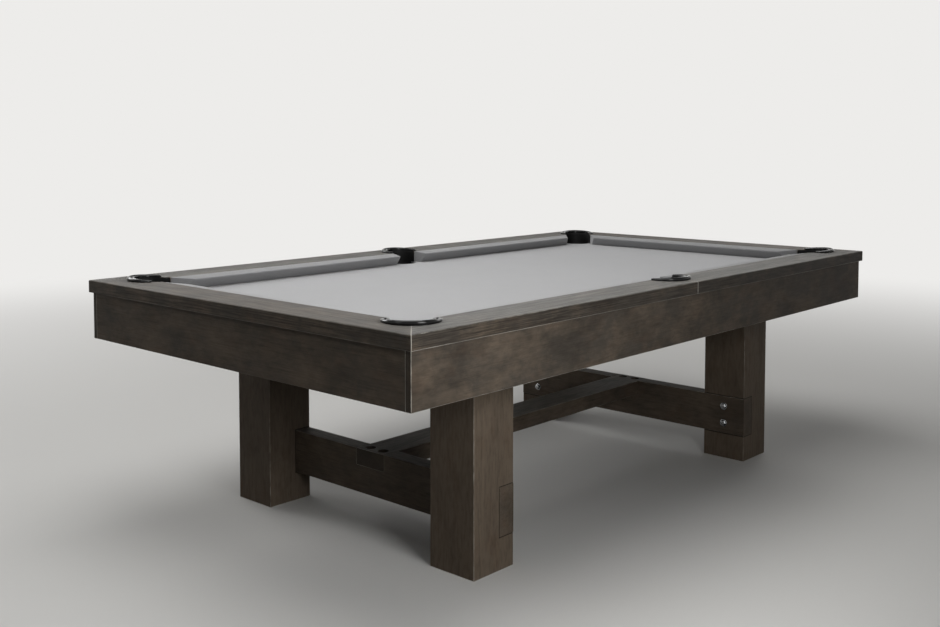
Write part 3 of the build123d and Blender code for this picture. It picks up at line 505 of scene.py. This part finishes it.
def worsted_cloth(name, colour, nap_sheen):
    """Worsted wool cloth, woven tight, napped and pressed. The eye sees an even soft grey with a faint
    mottle, a fine weave and a pale sheen at low angles."""
    made, tree = blank(name)
    place = add(tree, "ShaderNodeTexCoord")["Object"]
    # Threads are 0.5 mm apart on the real cloth, and drawn at 2.4 mm so that they show
    turns = 2 * math.pi / (2.4 * MM)
    wound = add(tree, "ShaderNodeVectorMath", {0: place, "Scale": turns}, operation="SCALE")[0]
    x, y, z = add(tree, "ShaderNodeSeparateXYZ", {0: wound})
    threads = []
    for level in (x, y):
        phase = add(tree, "ShaderNodeMath", {0: level, 1: z}, operation="ADD")[0]
        threads.append(add(tree, "ShaderNodeMath", {0: phase}, operation="SINE")[0])
    weave = add(tree, "ShaderNodeMath", {0: threads[0], 1: threads[1]}, operation="MULTIPLY")[0]
    # Fuzz of 2.4 mm, as coarse as the threads, and a mottle of 110 mm
    fuzz = add(tree, "ShaderNodeTexNoise", {"Vector": place, "Scale": 420.0, "Detail": 2.0})[0]
    nap = add(tree, "ShaderNodeMath", {0: weave, 1: 0.25, 2: fuzz}, operation="MULTIPLY_ADD")[0]
    mottle = add(tree, "ShaderNodeTexNoise", {"Vector": place, "Scale": 9.0, "Detail": 4.0})[0]
    mottle = add(tree, "ShaderNodeMath", {0: mottle, 1: 0.3, 2: nap}, operation="MULTIPLY_ADD")[0]
    shade = add(tree, "ShaderNodeMapRange", {0: mottle, 1: 0.2, 2: 1.1, 3: 0.0, 4: 1.0})[0]
    dark, light = np.array(colour) * 0.9, np.array(colour) * 1.08
    tone = add(tree, "ShaderNodeMix", {0: shade, 6: opaque(dark), 7: opaque(light)}, data_type="RGBA")[2]
    bump = add(tree, "ShaderNodeBump", {"Height": nap, "Strength": 0.25, "Distance": 0.4 * MM})[0]
    shader = add(tree, "ShaderNodeBsdfPrincipled", {
        "Base Color": tone, "Roughness": 0.92, "Sheen Weight": nap_sheen, "Sheen Roughness": 0.45,
        "Specular IOR Level": 0.2, "Normal": bump})[0]
    add(tree, "ShaderNodeOutputMaterial", {"Surface": shader})
    return made


def black_leather(name, colour, rough, shine):
    """Cow leather, dyed black, formed wet and waxed. The eye sees near black with a fine pebble grain
    and a highlight that is sharp on the moulded rims and dull in the boots."""
    made, tree = blank(name)
    place = add(tree, "ShaderNodeTexCoord")["Object"]
    # Pebbles 2 mm across, and creases 17 mm apart
    grain = add(tree, "ShaderNodeTexVoronoi", {
        "Vector": place, "Scale": 1 / (2 * MM)}, feature="SMOOTH_F1")[0]
    crease = add(tree, "ShaderNodeTexNoise", {"Vector": place, "Scale": 60.0, "Detail": 4.0})[0]
    height = add(tree, "ShaderNodeMath", {0: crease, 1: 0.8, 2: grain}, operation="MULTIPLY_ADD")[0]
    tone = add(tree, "ShaderNodeMix", {
        0: crease, 6: opaque(colour), 7: opaque(np.array(colour) * 2.4)}, data_type="RGBA")[2]
    bump = add(tree, "ShaderNodeBump", {"Height": height, "Strength": 0.18, "Distance": 0.3 * MM})[0]
    gloss = add(tree, "ShaderNodeMapRange", {
        0: crease, 1: 0.3, 2: 0.7, 3: rough - 0.06, 4: rough + 0.06})[0]
    shader = add(tree, "ShaderNodeBsdfPrincipled", {
        "Base Color": tone, "Roughness": gloss, "Specular IOR Level": shine, "Normal": bump})[0]
    add(tree, "ShaderNodeOutputMaterial", {"Surface": shader})
    return made


def steel(name, colour, rough):
    """Steel, turned or rolled and plated. The eye sees pale metal with cloudy changes of tone and gloss,
    some 6 mm across, and a fine unevenness."""
    made, tree = blank(name)
    place = add(tree, "ShaderNodeTexCoord")["Object"]
    cloud = add(tree, "ShaderNodeTexNoise", {
        "Vector": place, "Scale": 1 / (6.25 * MM), "Detail": 5.0, "Roughness": 0.7})[0]
    gloss = add(tree, "ShaderNodeMapRange", {0: cloud, 1: 0.3, 2: 0.7, 3: rough * 0.7, 4: rough * 1.5})[0]
    tone = add(tree, "ShaderNodeMix", {
        0: cloud, 6: opaque(np.array(colour) * 0.8), 7: opaque(colour)}, data_type="RGBA")[2]
    bump = add(tree, "ShaderNodeBump", {"Height": cloud, "Strength": 0.08, "Distance": 0.2 * MM})[0]
    shader = add(tree, "ShaderNodeBsdfPrincipled", {
        "Base Color": tone, "Metallic": 1.0, "Roughness": gloss, "Normal": bump})[0]
    add(tree, "ShaderNodeOutputMaterial", {"Surface": shader})
    return made


def speckled(name, colour, rough, size, strength):
    """Sawn slate, moulded rubber or moulded plastic: one colour with a grit of the given size that
    shows as small changes of tone and a fine unevenness."""
    made, tree = blank(name)
    place = add(tree, "ShaderNodeTexCoord")["Object"]
    grit = add(tree, "ShaderNodeTexNoise", {
        "Vector": place, "Scale": 1 / size, "Detail": 5.0, "Roughness": 0.6})[0]
    dark, light = np.array(colour) * 0.7, np.array(colour) * 1.25
    tone = add(tree, "ShaderNodeMix", {0: grit, 6: opaque(dark), 7: opaque(light)}, data_type="RGBA")[2]
    bump = add(tree, "ShaderNodeBump", {"Height": grit, "Strength": strength, "Distance": 0.4 * MM})[0]
    shader = add(tree, "ShaderNodeBsdfPrincipled", {
        "Base Color": tone, "Roughness": rough, "Normal": bump})[0]
    add(tree, "ShaderNodeOutputMaterial", {"Surface": shader})
    return made


def looked_at(tree):
    """1 for rays that see a surface straight, in a mirror or through glass, 0 for light that it throws."""
    ray = add(tree, "ShaderNodeLightPath")
    seen = add(tree, "ShaderNodeMath", {
        0: ray["Is Camera Ray"], 1: ray["Is Glossy Ray"]}, operation="MAXIMUM")[0]
    return add(tree, "ShaderNodeMath", {0: seen, 1: ray["Is Transmission Ray"]}, operation="MAXIMUM")[0]


def pale_floor(name, colour, background):
    """Plain matt floor. It is pale to look at, turns into the background by 7 m, and throws little light
    upwards."""
    made, tree = blank(name)
    place = add(tree, "ShaderNodeTexCoord")["Object"]
    seen = looked_at(tree)
    far = add(tree, "ShaderNodeVectorMath", {0: place}, operation="LENGTH")[1]
    far = add(tree, "ShaderNodeMapRange", {0: far, 1: 1.6, 2: 7.0}, interpolation_type="SMOOTHSTEP")[0]
    far = add(tree, "ShaderNodeMath", {0: far, 1: seen}, operation="MULTIPLY")[0]
    tone = add(tree, "ShaderNodeMix", {
        0: seen, 6: opaque(np.array(colour) * 0.14), 7: opaque(colour)}, data_type="RGBA")[2]
    matt = add(tree, "ShaderNodeBsdfPrincipled", {
        "Base Color": tone, "Roughness": 0.7, "Specular IOR Level": 0.2})[0]
    glow = add(tree, "ShaderNodeEmission", {"Color": opaque(background), "Strength": 1.0})[0]
    mixed = add(tree, "ShaderNodeMixShader", {0: far, 1: matt, 2: glow})[0]
    add(tree, "ShaderNodeOutputMaterial", {"Surface": mixed})
    return made


def studio(background):
    """Plain world: the background to look at, faint all-round light, and in reflections a room that is
    pale at eye level and darker overhead."""
    world = bpy.data.worlds.new("studio")
    world.use_nodes = True
    tree = world.node_tree
    tree.nodes.clear()
    up = add(tree, "ShaderNodeSeparateXYZ", {0: add(tree, "ShaderNodeTexCoord")["Generated"]})[2]
    room = add(tree, "ShaderNodeMapRange", {0: up, 1: 0.15, 2: 0.6, 3: 1.0, 4: 0.3})[0]
    strength = add(tree, "ShaderNodeMapRange", {0: looked_at(tree), 3: 0.08, 4: room})[0]
    back = add(tree, "ShaderNodeBackground", {"Color": opaque(background), "Strength": strength})[0]
    add(tree, "ShaderNodeOutputWorld", {"Surface": back})
    return world


def finish_nodes(material, *names):
    """Gives solids that keep their shape a finish in place of the plain one they were packed with."""
    for name in names:
        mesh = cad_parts[name].data
        mesh.materials.clear()
        mesh.materials.append(material)


# Pieces, one operator each


class POOL_TABLE_OT_bed_cloth(bpy.types.Operator):
    """Stretches the bed cloth over the slates and turns it down at the edges and into the pockets"""

    bl_idname = "pool_table.bed_cloth"
    bl_label = "Bed cloth"

    def execute(self, context):
        sizes = context.scene.pool_table_sizes
        thick = BED_TOP - SLATE_TOP
        skirt, inset = 14 * MM, 6 * MM
        clear, lift = 0.1 * MM, 0.05 * MM
        notch = sizes.pocket_radius + sizes.boot_wall + 3.3 * MM
        half = np.array([SLATE_X, SLATE_Y])
        sweep = np.linspace(-math.pi / 2, math.pi / 2, 25)
        found = {name: (centre, out) for name, _, centre, out in pockets(sizes)}
        # Outline: half round each pocket, and from both tips of the arc straight out to the slates' edge
        runs = []
        for name in ("foot_right", "foot_left", "middle_left", "head_left", "head_right", "middle_right"):
            centre, out = found[name]
            across = np.array([-out[1], out[0]])
            arc = centre - notch * np.cos(sweep)[:, None] * out + notch * np.sin(sweep)[:, None] * across
            tips = arc[[0, -1]]
            speed = np.where(np.abs(out) > 1e-6, np.abs(out), np.nan)
            reach = np.nanmin((half - np.abs(tips)) / speed, axis=1)
            ends = tips + reach[:, None] * out
            runs += [ends[:1], arc, ends[1:]]
        outline = np.concatenate(runs)
        away = square_to(outline)
        # Section of the edge: out over the slate, round its arris and down, then back under
        bend = np.linspace(0, math.pi / 2, 6)
        over = np.stack([thick * np.sin(bend), SLATE_TOP + thick * np.cos(bend)], axis=1)
        under = [(thick, SLATE_TOP - skirt), (clear, SLATE_TOP - skirt), (clear, SLATE_TOP + lift),
                 (-inset, SLATE_TOP + lift)]
        edge = np.concatenate([[(-inset, BED_TOP)], over, under])
        level = outline[None] + edge[:, :1, None] * away[None]
        height = np.broadcast_to(edge[:, 1, None, None], (*level.shape[:2], 1))
        points = np.concatenate([level, height], axis=-1)
        cloth = worsted_cloth("worsted_cloth_bed", context.scene.pool_table_colours.bed, 0.18)
        bed = make("bed_cloth_stretched", [net(points)], cloth,
                   stands_for=["bed_cloth"])
        return {"FINISHED"}


class POOL_TABLE_OT_cushions(bpy.types.Operator):
    """Makes the six cushions, with cloth drawn over nose, face and jaws"""

    bl_idname = "pool_table.cushions"
    bl_label = "Cushions"

    @staticmethod
    def form(sizes, start, along, out, first, last):
        """A cushion: its eased section is carried from one jaw to the other. Each jaw is slanted, so the
        place along the rail depends on the distance behind the nose. At both ends the section draws in
        by r(1 - cos a) while it moves on by r sin a, which eases the jaw's edge."""
        wide, low = sizes.cushion_width, BED_TOP + 0.3 * MM
        top = RAIL_TOP - 0.4 * MM
        nose = top - sizes.cushion_fall
        section = rounded(
            [(wide - 0.1 * MM, low), (wide - 0.1 * MM, top), (-0.2 * MM, nose + 0.6 * MM),
             (-0.2 * MM, nose - 4.2 * MM), (sizes.cushion_undercut, low)],
            [0.4 * MM, 1.6 * MM, 2.6 * MM, 2.4 * MM, 1.2 * MM])
        ease = 2.2 * MM
        turn = np.linspace(math.pi / 2, 0, 6)
        body = np.linspace(0, 1, 14)[1:-1]
        draw, move = ease * (1 - np.cos(turn)), ease * (1 - np.sin(turn))
        shrink = np.concatenate([draw, 0 * body, draw[::-1]])
        share = np.concatenate([0 * turn, body, 0 * turn + 1])
        shift = np.concatenate([move, ease * (1 - 2 * body), -move[::-1]])
        row = section[None] - shrink[:, None, None] * square_to(section)[None]
        behind = np.clip(row[..., 0] / wide, 0, 1)
        reach_first = first[0] + (first[1] - first[0]) * behind
        reach_last = last[0] + (last[1] - last[0]) * behind
        place = (1 - share[:, None]) * reach_first + share[:, None] * reach_last + shift[:, None]
        level = start + place[..., None] * along + row[..., :1] * out
        return np.concatenate([level, row[..., 1:]], axis=-1)

    def execute(self, context):
        sizes = context.scene.pool_table_sizes
        # The cushions' colour is the bed cloth darkened: painted shade
        cloth = worsted_cloth("worsted_cloth_cushions", context.scene.pool_table_colours.cushion, 0.5)
        # The cloth's jaws stand a little proud of the sizes
        proud = 0.7 * MM
        side = (sizes.side_mouth - proud, sizes.side_throat - proud)
        corner = (sizes.corner_mouth - proud, sizes.corner_throat - proud)
        across = (corner[0] - NOSE_Y, corner[1] - NOSE_Y)
        forms = {}
        for end, sx in ENDS.items():
            forms[end] = self.form(
                sizes, np.array([sx * NOSE_X, 0]), np.array([0, 1.0]), np.array([sx, 0.0]),
                across, (-across[0], -across[1]))
            for hand, sy in SIDES.items():
                forms[f"{end}_{hand}"] = self.form(
                    sizes, np.array([0, sy * NOSE_Y]), np.array([sx, 0.0]), np.array([0, sy]),
                    side, (NOSE_X - corner[0], NOSE_X - corner[1]))
        for name, points in forms.items():
            cushion = make(f"cushion_{name}", [net(points)], cloth,
                           stands_for=[f"cushion_cloth_{name}"])
        return {"FINISHED"}


class POOL_TABLE_OT_pocket_rims(bpy.types.Operator):
    """Makes the six moulded rims, each with a crest, a hollow and an inner lip, sloping down to its toes"""

    bl_idname = "pool_table.pocket_rims"
    bl_label = "Pocket rims"

    def execute(self, context):
        sizes = context.scene.pool_table_sizes
        leather = black_leather("leather_black_waxed", context.scene.pool_table_colours.leather, 0.12, 0.3)
        inner = sizes.pocket_radius + 0.6 * MM
        outer = inner + sizes.rim_width - 0.3 * MM
        # Section, as shares of the width from the inner edge and of the height there
        across, rise = rounded(
            [(0, 0.12), (1, 0.01), (1, 0.72), (0.74, 1.06), (0.42, 0.5), (0.2, 0.96), (0, 0.8)],
            [0.02, 0.03, 0.2, 0.16, 0.14, 0.1, 0.1], steps=6).T
        straight = sizes.rim_arm * (np.linspace(0, 1, 14)[:-1] ** 1.6 - 1)
        start, angle = horseshoe_path(straight, 49)
        # Towards the end of a toe its sides draw in as a quarter circle: r - sqrt(r r - (r - d)(r - d))
        left = np.where(np.isclose(start, 0), 1.0, start + sizes.rim_arm)
        drawn = [r - np.sqrt(r ** 2 - np.clip(r - left, 0, r) ** 2) for r in (3 * MM, sizes.rim_toe_round)]
        away = inner + drawn[0] + across * (outer - drawn[1] - inner - drawn[0])
        # The height falls evenly from the back to the toes
        slope = (sizes.rim_height - sizes.rim_toe_height) / (outer + sizes.rim_arm)
        tall = sizes.rim_toe_height + slope * (start + away * np.cos(angle) + sizes.rim_arm)
        for name, _, centre, out in pockets(sizes):
            points = horseshoe(centre, out, away, RAIL_TOP + rise * tall, start, angle)
            make(f"rim_{name}", [net(points)], leather,
                 stands_for=[f"pocket_rim_{name}"])
        return {"FINISHED"}


class POOL_TABLE_OT_pocket_boots(bpy.types.Operator):
    """Makes the leather boots under the rims: a wall round the back of each pocket and a cup below"""

    bl_idname = "pool_table.pocket_boots"
    bl_label = "Pocket boots"

    @staticmethod
    def cup(inner, outer, top):
        """A cup turned round the vertical axis: its walls narrow by 6 mm to a bevelled floor, and draw in
        halfway up by a sine of the height."""
        narrow, bevel, floor = 6 * MM, 3 * MM, BOOT_FLOOR + 4 * MM
        rise = np.linspace(0, 1, 12)
        waist = np.sin(math.pi * rise)
        height = BOOT_FLOOR + bevel + (top - BOOT_FLOOR - bevel) * rise
        outside = np.stack([outer - narrow * (1 - rise) - 0.6 * MM * waist, height], axis=1)
        inside = np.stack([inner - narrow * (1 - rise) - 0.48 * MM * waist, height], axis=1)[::-1]
        inside[-1, 1] = floor + 2 * MM
        below = [(1 * MM, BOOT_FLOOR), (outer - narrow - bevel, BOOT_FLOOR)]
        above = [(inner - narrow - bevel, floor), (1 * MM, floor)]
        return turned(np.concatenate([below, outside, inside, above]), 56)

    def execute(self, context):
        sizes = context.scene.pool_table_sizes
        leather = black_leather("leather_black_dull", context.scene.pool_table_colours.leather, 0.6, 0.2)
        inner = sizes.pocket_radius
        outer = inner + sizes.boot_wall
        cup_top = SLATE_TOP - 3 * MM
        cup = self.cup(inner, outer, cup_top)
        # Wall: a thin upright section, its height and depth as shares, is carried along the arms to the
        # cushions' jaws and round the back
        share = np.array([0, 0.35, 0.7, 0.94, 1, 1, 0.94, 0.7, 0.35, 0])[None]
        depth = np.array([1, 1, 1, 1, 0.8, 0.2, 0, 0, 0, 0])[None]
        arms = {"corner": math.sqrt(2) * (sizes.corner_setback - sizes.cushion_width) + outer + 0.3 * MM,
                "side": sizes.side_setback - sizes.cushion_width}
        groups = {kind: [] for kind in arms}
        for _, kind, centre, out in pockets(sizes):
            start, angle = horseshoe_path(np.linspace(-arms[kind], 0, 8)[:-1], 41)
            # Along the arms the bottom stands on the bed, and past the rim's toes the top drops to the wood
            low = np.where(start < -1e-6, BED_TOP + 0.4 * MM, cup_top + 0.2 * MM)
            high = np.where(start < -sizes.rim_arm + 2 * MM, RAIL_TOP - 2 * MM, RAIL_TOP + 1.2 * MM)
            away = inner + sizes.boot_wall * depth + 0 * start
            points = horseshoe(centre, out, away, low + (high - low) * share, start, angle)
            groups[kind] += [net(points), net(cup + np.array([*centre, 0]))]
        for kind, nets in groups.items():
            make(f"pocket_boots_{kind}", nets, leather, stands_for=[f"{kind}_pocket_boots"])
        return {"FINISHED"}


class POOL_TABLE_OT_beam_bolts(bpy.types.Operator):
    """Makes the bright hexagon bolts: on washers against the beams, and sunk into the stretcher's ends"""

    bl_idname = "pool_table.beam_bolts"
    bl_label = "Beam bolts"

    def execute(self, context):
        bright = steel("steel_chromed", context.scene.pool_table_colours.steel, 0.13)
        dull = steel("steel_zinced_heads", linear("#9A9C9D"), 0.3)
        leg_low, leg_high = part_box("leg_foot_left")
        beam_low, beam_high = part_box("leg_beam_foot")
        beam = (beam_low + beam_high) / 2
        hole, wide, thick = 6.4 * MM, 14.5 * MM, 2.5 * MM
        ring = rounded([(hole, 0), (wide, 0), (wide, thick), (hole, thick)],
                       [0.2 * MM, 0.5 * MM, 0.9 * MM, 0.5 * MM], steps=4)
        washer, head = turned(ring, 48), hexagon_head(10.5 * MM, 8 * MM)
        # Two bolts in each leg, 66 mm apart
        leg_y, half_spacing = (leg_low.y + leg_high.y) / 2, 33 * MM
        places = [(sx, sy * leg_y, beam.z + half_spacing * k)
                  for sx in ENDS.values() for sy in SIDES.values() for k in (-1, 1)]
        # Washers lie against the legs' inner faces and heads on the washers, with their axis along X
        stood = {}
        for name, shape, off in (("heads", head, thick), ("washers", washer, 0)):
            stood[name] = [np.stack([sx * (leg_low.x - off - shape[..., 2]), y + shape[..., 0],
                                     z + shape[..., 1]], axis=-1) for sx, y, z in places]
        heads = [net(points) for points in stood["heads"]]
        washers = [net(points, capped=False, ring=True) for points in stood["washers"]]
        make("beam_bolts_bright", heads, bright, stands_for=["leg_beam_bolts"], crease=25.0)
        make("beam_washers_bright", washers, bright, stands_for=["leg_beam_washers"])
        # The stretcher's bolts are 60 mm apart and sit 22 mm down in their counterbores
        seat, half_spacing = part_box("centre_stretcher")[1].z - 22 * MM, 30 * MM
        sunk = [net(head + np.array([sx * beam.x, sy * half_spacing, seat]))
                for sx in ENDS.values() for sy in SIDES.values()]
        make("stretcher_bolts_sunk", sunk, dull, stands_for=["stretcher_bolts"], crease=25.0)
        return {"FINISHED"}


class POOL_TABLE_OT_levellers(bpy.types.Operator):
    """Makes the threaded leveller stems and finishes the pads"""

    bl_idname = "pool_table.levellers"
    bl_label = "Levellers"

    def execute(self, context):
        pitch = context.scene.pool_table_sizes.thread_pitch
        zinc = steel("steel_zinced_thread", linear("#A9ABAC"), 0.28)
        plastic = speckled("nylon_black_moulded", linear("#191919"), 0.5, 1.2 * MM, 0.15)
        radius, groove = 5 * MM, 0.8 * MM
        # From the stem's lower end: a foot with a bevelled edge, a neck, the hexagon and the thread
        hexagon_at, thread_at = 6.8 * MM, 12.5 * MM
        foot = turned(np.array([[1, 0], [6.9, 0], [7.5, 0.6], [7.5, 2.4], [6.9, 3.0], [5, 3.0],
                                [5, 6.8]]) * MM, 48)
        hexagon = hexagon_head(17 * MM / math.sqrt(3), 6 * MM) + np.array([0, 0, hexagon_at])
        for corner in CORNERS:
            low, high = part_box(f"leveller_stem_{corner}")
            middle = np.array([(low.x + high.x) / 2, (low.y + high.y) / 2, 0])
            end = np.array([*middle[:2], low.z])
            # The thread's radius falls in a groove that climbs one pitch each turn; its tip is turned down
            angle = np.linspace(0, 2 * math.pi, 24, endpoint=False)[None]
            height = np.linspace(low.z + thread_at, high.z - groove, 320)[:, None]
            climb = np.abs(2 * np.mod(height / pitch - angle / (2 * math.pi), 1) - 1)
            away = radius - groove * np.clip(1.4 * climb - 0.2, 0, 1)
            away = np.where(height > high.z - 2 * groove, np.minimum(away, radius - groove), away)
            rod = np.stack([away * np.cos(angle), away * np.sin(angle), height + 0 * angle], axis=-1)
            nets = [net(shape) for shape in (rod + middle, foot + end, hexagon + end)]
            make(f"stem_threaded_{corner}", nets, zinc, body=f"stem_{corner}",
                 stands_for=[f"leveller_stem_{corner}"], crease=30.0)
            finish_nodes(plastic, f"leveller_pad_{corner}")
        return {"FINISHED"}


class POOL_TABLE_OT_woodwork(bpy.types.Operator):
    """Finishes rails, aprons, legs, beams and stretcher in stained wood, each with its own grain"""

    bl_idname = "pool_table.woodwork"
    bl_label = "Woodwork"

    def execute(self, context):
        cushion = context.scene.pool_table_sizes.cushion_width
        beam_low, beam_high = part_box("leg_beam_foot")
        corner = (HALF_LENGTH, HALF_WIDTH, RAIL_TOP)
        # The side rails' box starts 9 mm past their butt joint, which gets its own pale line, and the
        # beams' box ends past the legs, in which their ends lie flush and get no pale edges
        past_joint, past_leg = 9 * MM, 50 * MM
        # The pale edges are rubbed wear and painted highlight, set stronger on the lit side boards than on
        # the shaded end ones
        boards = [
            # The share of grey on each board's tops is painted sheen
            ("side_rails", "X", [f"rail_{name}" for name in CORNERS],
             ((-past_joint, NOSE_Y + cushion, APRON_TOP), corner),
             dict(streaked=0.9, ringed=0.25, painted_top_sheen=0.34, warmth=-0.8, wear_and_highlight=0.8, cornered=0.6,
                  mitred=True, dusty=0.2, seed=1.3)),
            ("end_rails", "Y", ["rail_head", "rail_foot"],
             ((NOSE_X + cushion, -HALF_WIDTH, APRON_TOP), corner),
             dict(streaked=0.75, painted_top_sheen=0.14, warmth=-0.2, wear_and_highlight=0.25, mitred=True, dusty=0.12, seed=4.1)),
            ("side_aprons", "X", ["apron_left", "apron_right"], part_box("apron_left"),
             dict(streaked=0.2, warmth=-0.25, wear_and_highlight=1.0, seed=7.7)),
            ("end_aprons", "Y", ["apron_foot", "apron_head"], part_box("apron_foot"),
             dict(wear_and_highlight=0.2, seed=2.9)),
            ("beams", "Y", ["leg_beam_foot", "leg_beam_head"],
             (beam_low, (beam_high.x, beam_high.y + past_leg, beam_high.z)),
             dict(painted_top_sheen=0.3, warmth=0.45, wear_and_highlight=0.45, ends=0.0, seed=5.3)),
            ("stretcher", "X", ["centre_stretcher"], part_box("centre_stretcher"),
             dict(painted_top_sheen=0.4, warmth=0.3, wear_and_highlight=0.5, seed=8.6)),
            ("legs", "Z", [f"leg_{name}" for name in CORNERS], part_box("leg_foot_left"),
             dict(streaked=0.14, wear_and_highlight=0.65, warmth=1.0, seed=3.4,
                  housing=(beam_high.x, beam_low.z, beam_high.z))),
        ]
        for name, grain, nodes, (low, high), looks in boards:
            finish_nodes(stained_wood(f"walnut_stained_{name}", grain, low, high, **looks), *nodes)
        return {"FINISHED"}


class POOL_TABLE_OT_hidden_build(bpy.types.Operator):
    """Finishes what the aprons hide: frame, liners, slates, rubbers, strips, brackets and fasteners"""

    bl_idname = "pool_table.hidden_build"
    bl_label = "Hidden build"

    def execute(self, context):
        colours = context.scene.pool_table_colours
        finish_nodes(plain_timber("softwood_planed_long", "X"),
                     "frame_side_beam_left", "frame_side_beam_right", "slate_liners", "feather_strips")
        finish_nodes(plain_timber("softwood_planed_cross", "Y"), "frame_end_beams", "frame_cross_beams")
        finish_nodes(plain_timber("softwood_planed_upright", "Z"), "apron_corner_blocks")
        finish_nodes(speckled("slate_sawn", colours.slate, 0.6, 4 * MM, 0.4),
                     "slate_head", "slate_centre", "slate_foot")
        finish_nodes(speckled("gum_rubber_moulded", linear("#6E5A3C"), 0.6, 2 * MM, 0.2), "cushion_rubbers")
        finish_nodes(steel("steel_zinced", linear("#9FA1A2"), 0.3),
                     "rail_bolts", "slate_screws", "frame_bolts", "leg_bolts", "apron_brackets",
                     "leveller_nuts")
        return {"FINISHED"}


class POOL_TABLE_OT_stage(bpy.types.Operator):
    """Sets the plain pale floor, the soft light and the camera at the photograph's place"""

    bl_idname = "pool_table.stage"
    bl_label = "Stage"

    def execute(self, context):
        scene = context.scene
        scene.view_settings.view_transform = "Standard"
        background = linear("#EDECEA")
        scene.world = studio(background)

        span = np.linspace(-60, 60, 7)
        x, y = np.meshgrid(span, span)
        points, corners, _ = net(np.stack([x, y, 0 * x], axis=-1), around=False, capped=False)
        mesh = bpy.data.meshes.new("floor")
        mesh.from_pydata(points, [], corners.reshape(-1, 4))
        mesh.materials.append(pale_floor("floor_plain_pale", scene.pool_table_colours.floor, background))
        floor = bpy.data.objects.new("floor", mesh)
        scene.collection.objects.link(floor)

        # Where each lamp hangs, where it points, its width and height, its spread in degrees and its power
        lamps = {
            "lamp_above": ((-0.5, 0.1, 3.6), (-0.3, 0, 0.75), 3.2, 2.4, 180, 61),
            "lamp_side": ((-1.3, -2.2, 1.2), (-1.0, -0.5, 0.8), 0.8, 0.8, 130, 12.5),
            "lamp_head": ((-3.6, 0.2, 3.6), (-1.3, 0, 0.7), 1.2, 1.2, 180, 18),
            "lamp_back": ((-0.6, 4.6, 3.2), (0, 0, 0.75), 3.0, 1.6, 180, 80),
            "lamp_foot": ((4.2, 0.6, 3.2), (1.3, 0, 0.5), 1.6, 1.2, 180, 24),
        }
        for name, (where, target, wide, tall, spread, power) in lamps.items():
            light = bpy.data.lights.new(name, "AREA")
            light.shape, light.size, light.size_y = "RECTANGLE", wide, tall
            light.spread, light.energy = math.radians(spread), power
            lamp = bpy.data.objects.new(name, light)
            ahead = np.array(target) - np.array(where)
            ahead = ahead / np.linalg.norm(ahead)
            lamp.location = where
            lamp.rotation_euler = (math.acos(-ahead[2]), 0, math.atan2(-ahead[0], ahead[1]))
            scene.collection.objects.link(lamp)

        camera = bpy.data.cameras.new("camera")
        camera.sensor_width, camera.lens = 36.0, 41.996
        camera.shift_y = -0.12
        camera.clip_end = 200.0
        pitch, heading = 3.263, 42.234
        eye = bpy.data.objects.new("camera", camera)
        eye.location = (-3.1174, -2.5806, 1.2516)
        eye.rotation_euler = (math.radians(90 - pitch), 0, math.radians(heading - 90))
        scene.collection.objects.link(eye)
        scene.camera = eye
        return {"FINISHED"}


class POOL_TABLE_PT_looks(bpy.types.Panel):
    """Lists the table's sizes, colours and pieces"""

    bl_label = "Pool table"
    bl_idname = "POOL_TABLE_PT_looks"
    bl_space_type = "VIEW_3D"
    bl_region_type = "UI"
    bl_category = "Pool table"

    def draw(self, context):
        for group in (context.scene.pool_table_sizes, context.scene.pool_table_colours):
            box = self.layout.box()
            for name in group.__annotations__:
                box.prop(group, name)
        for operator in OPERATORS:
            self.layout.operator(operator.bl_idname)


OPERATORS = (
    POOL_TABLE_OT_stage,
    POOL_TABLE_OT_bed_cloth,
    POOL_TABLE_OT_cushions,
    POOL_TABLE_OT_pocket_rims,
    POOL_TABLE_OT_pocket_boots,
    POOL_TABLE_OT_beam_bolts,
    POOL_TABLE_OT_levellers,
    POOL_TABLE_OT_woodwork,
    POOL_TABLE_OT_hidden_build,
)
CLASSES = (PoolTableSizes, PoolTableColours, *OPERATORS, POOL_TABLE_PT_looks)


def register():
    for kind in CLASSES:
        bpy.utils.register_class(kind)
    bpy.types.Scene.pool_table_sizes = PointerProperty(type=PoolTableSizes)
    bpy.types.Scene.pool_table_colours = PointerProperty(type=PoolTableColours)


def unregister():
    del bpy.types.Scene.pool_table_colours
    del bpy.types.Scene.pool_table_sizes
    for kind in reversed(CLASSES):
        bpy.utils.unregister_class(kind)


def main():
    """Dresses the table piece by piece."""
    register()
    bpy.ops.pool_table.stage()
    bpy.ops.pool_table.bed_cloth()
    bpy.ops.pool_table.cushions()
    bpy.ops.pool_table.pocket_rims()
    bpy.ops.pool_table.pocket_boots()
    bpy.ops.pool_table.beam_bolts()
    bpy.ops.pool_table.levellers()
    bpy.ops.pool_table.woodwork()
    bpy.ops.pool_table.hidden_build()


if __name__ == "__main__":
    main()
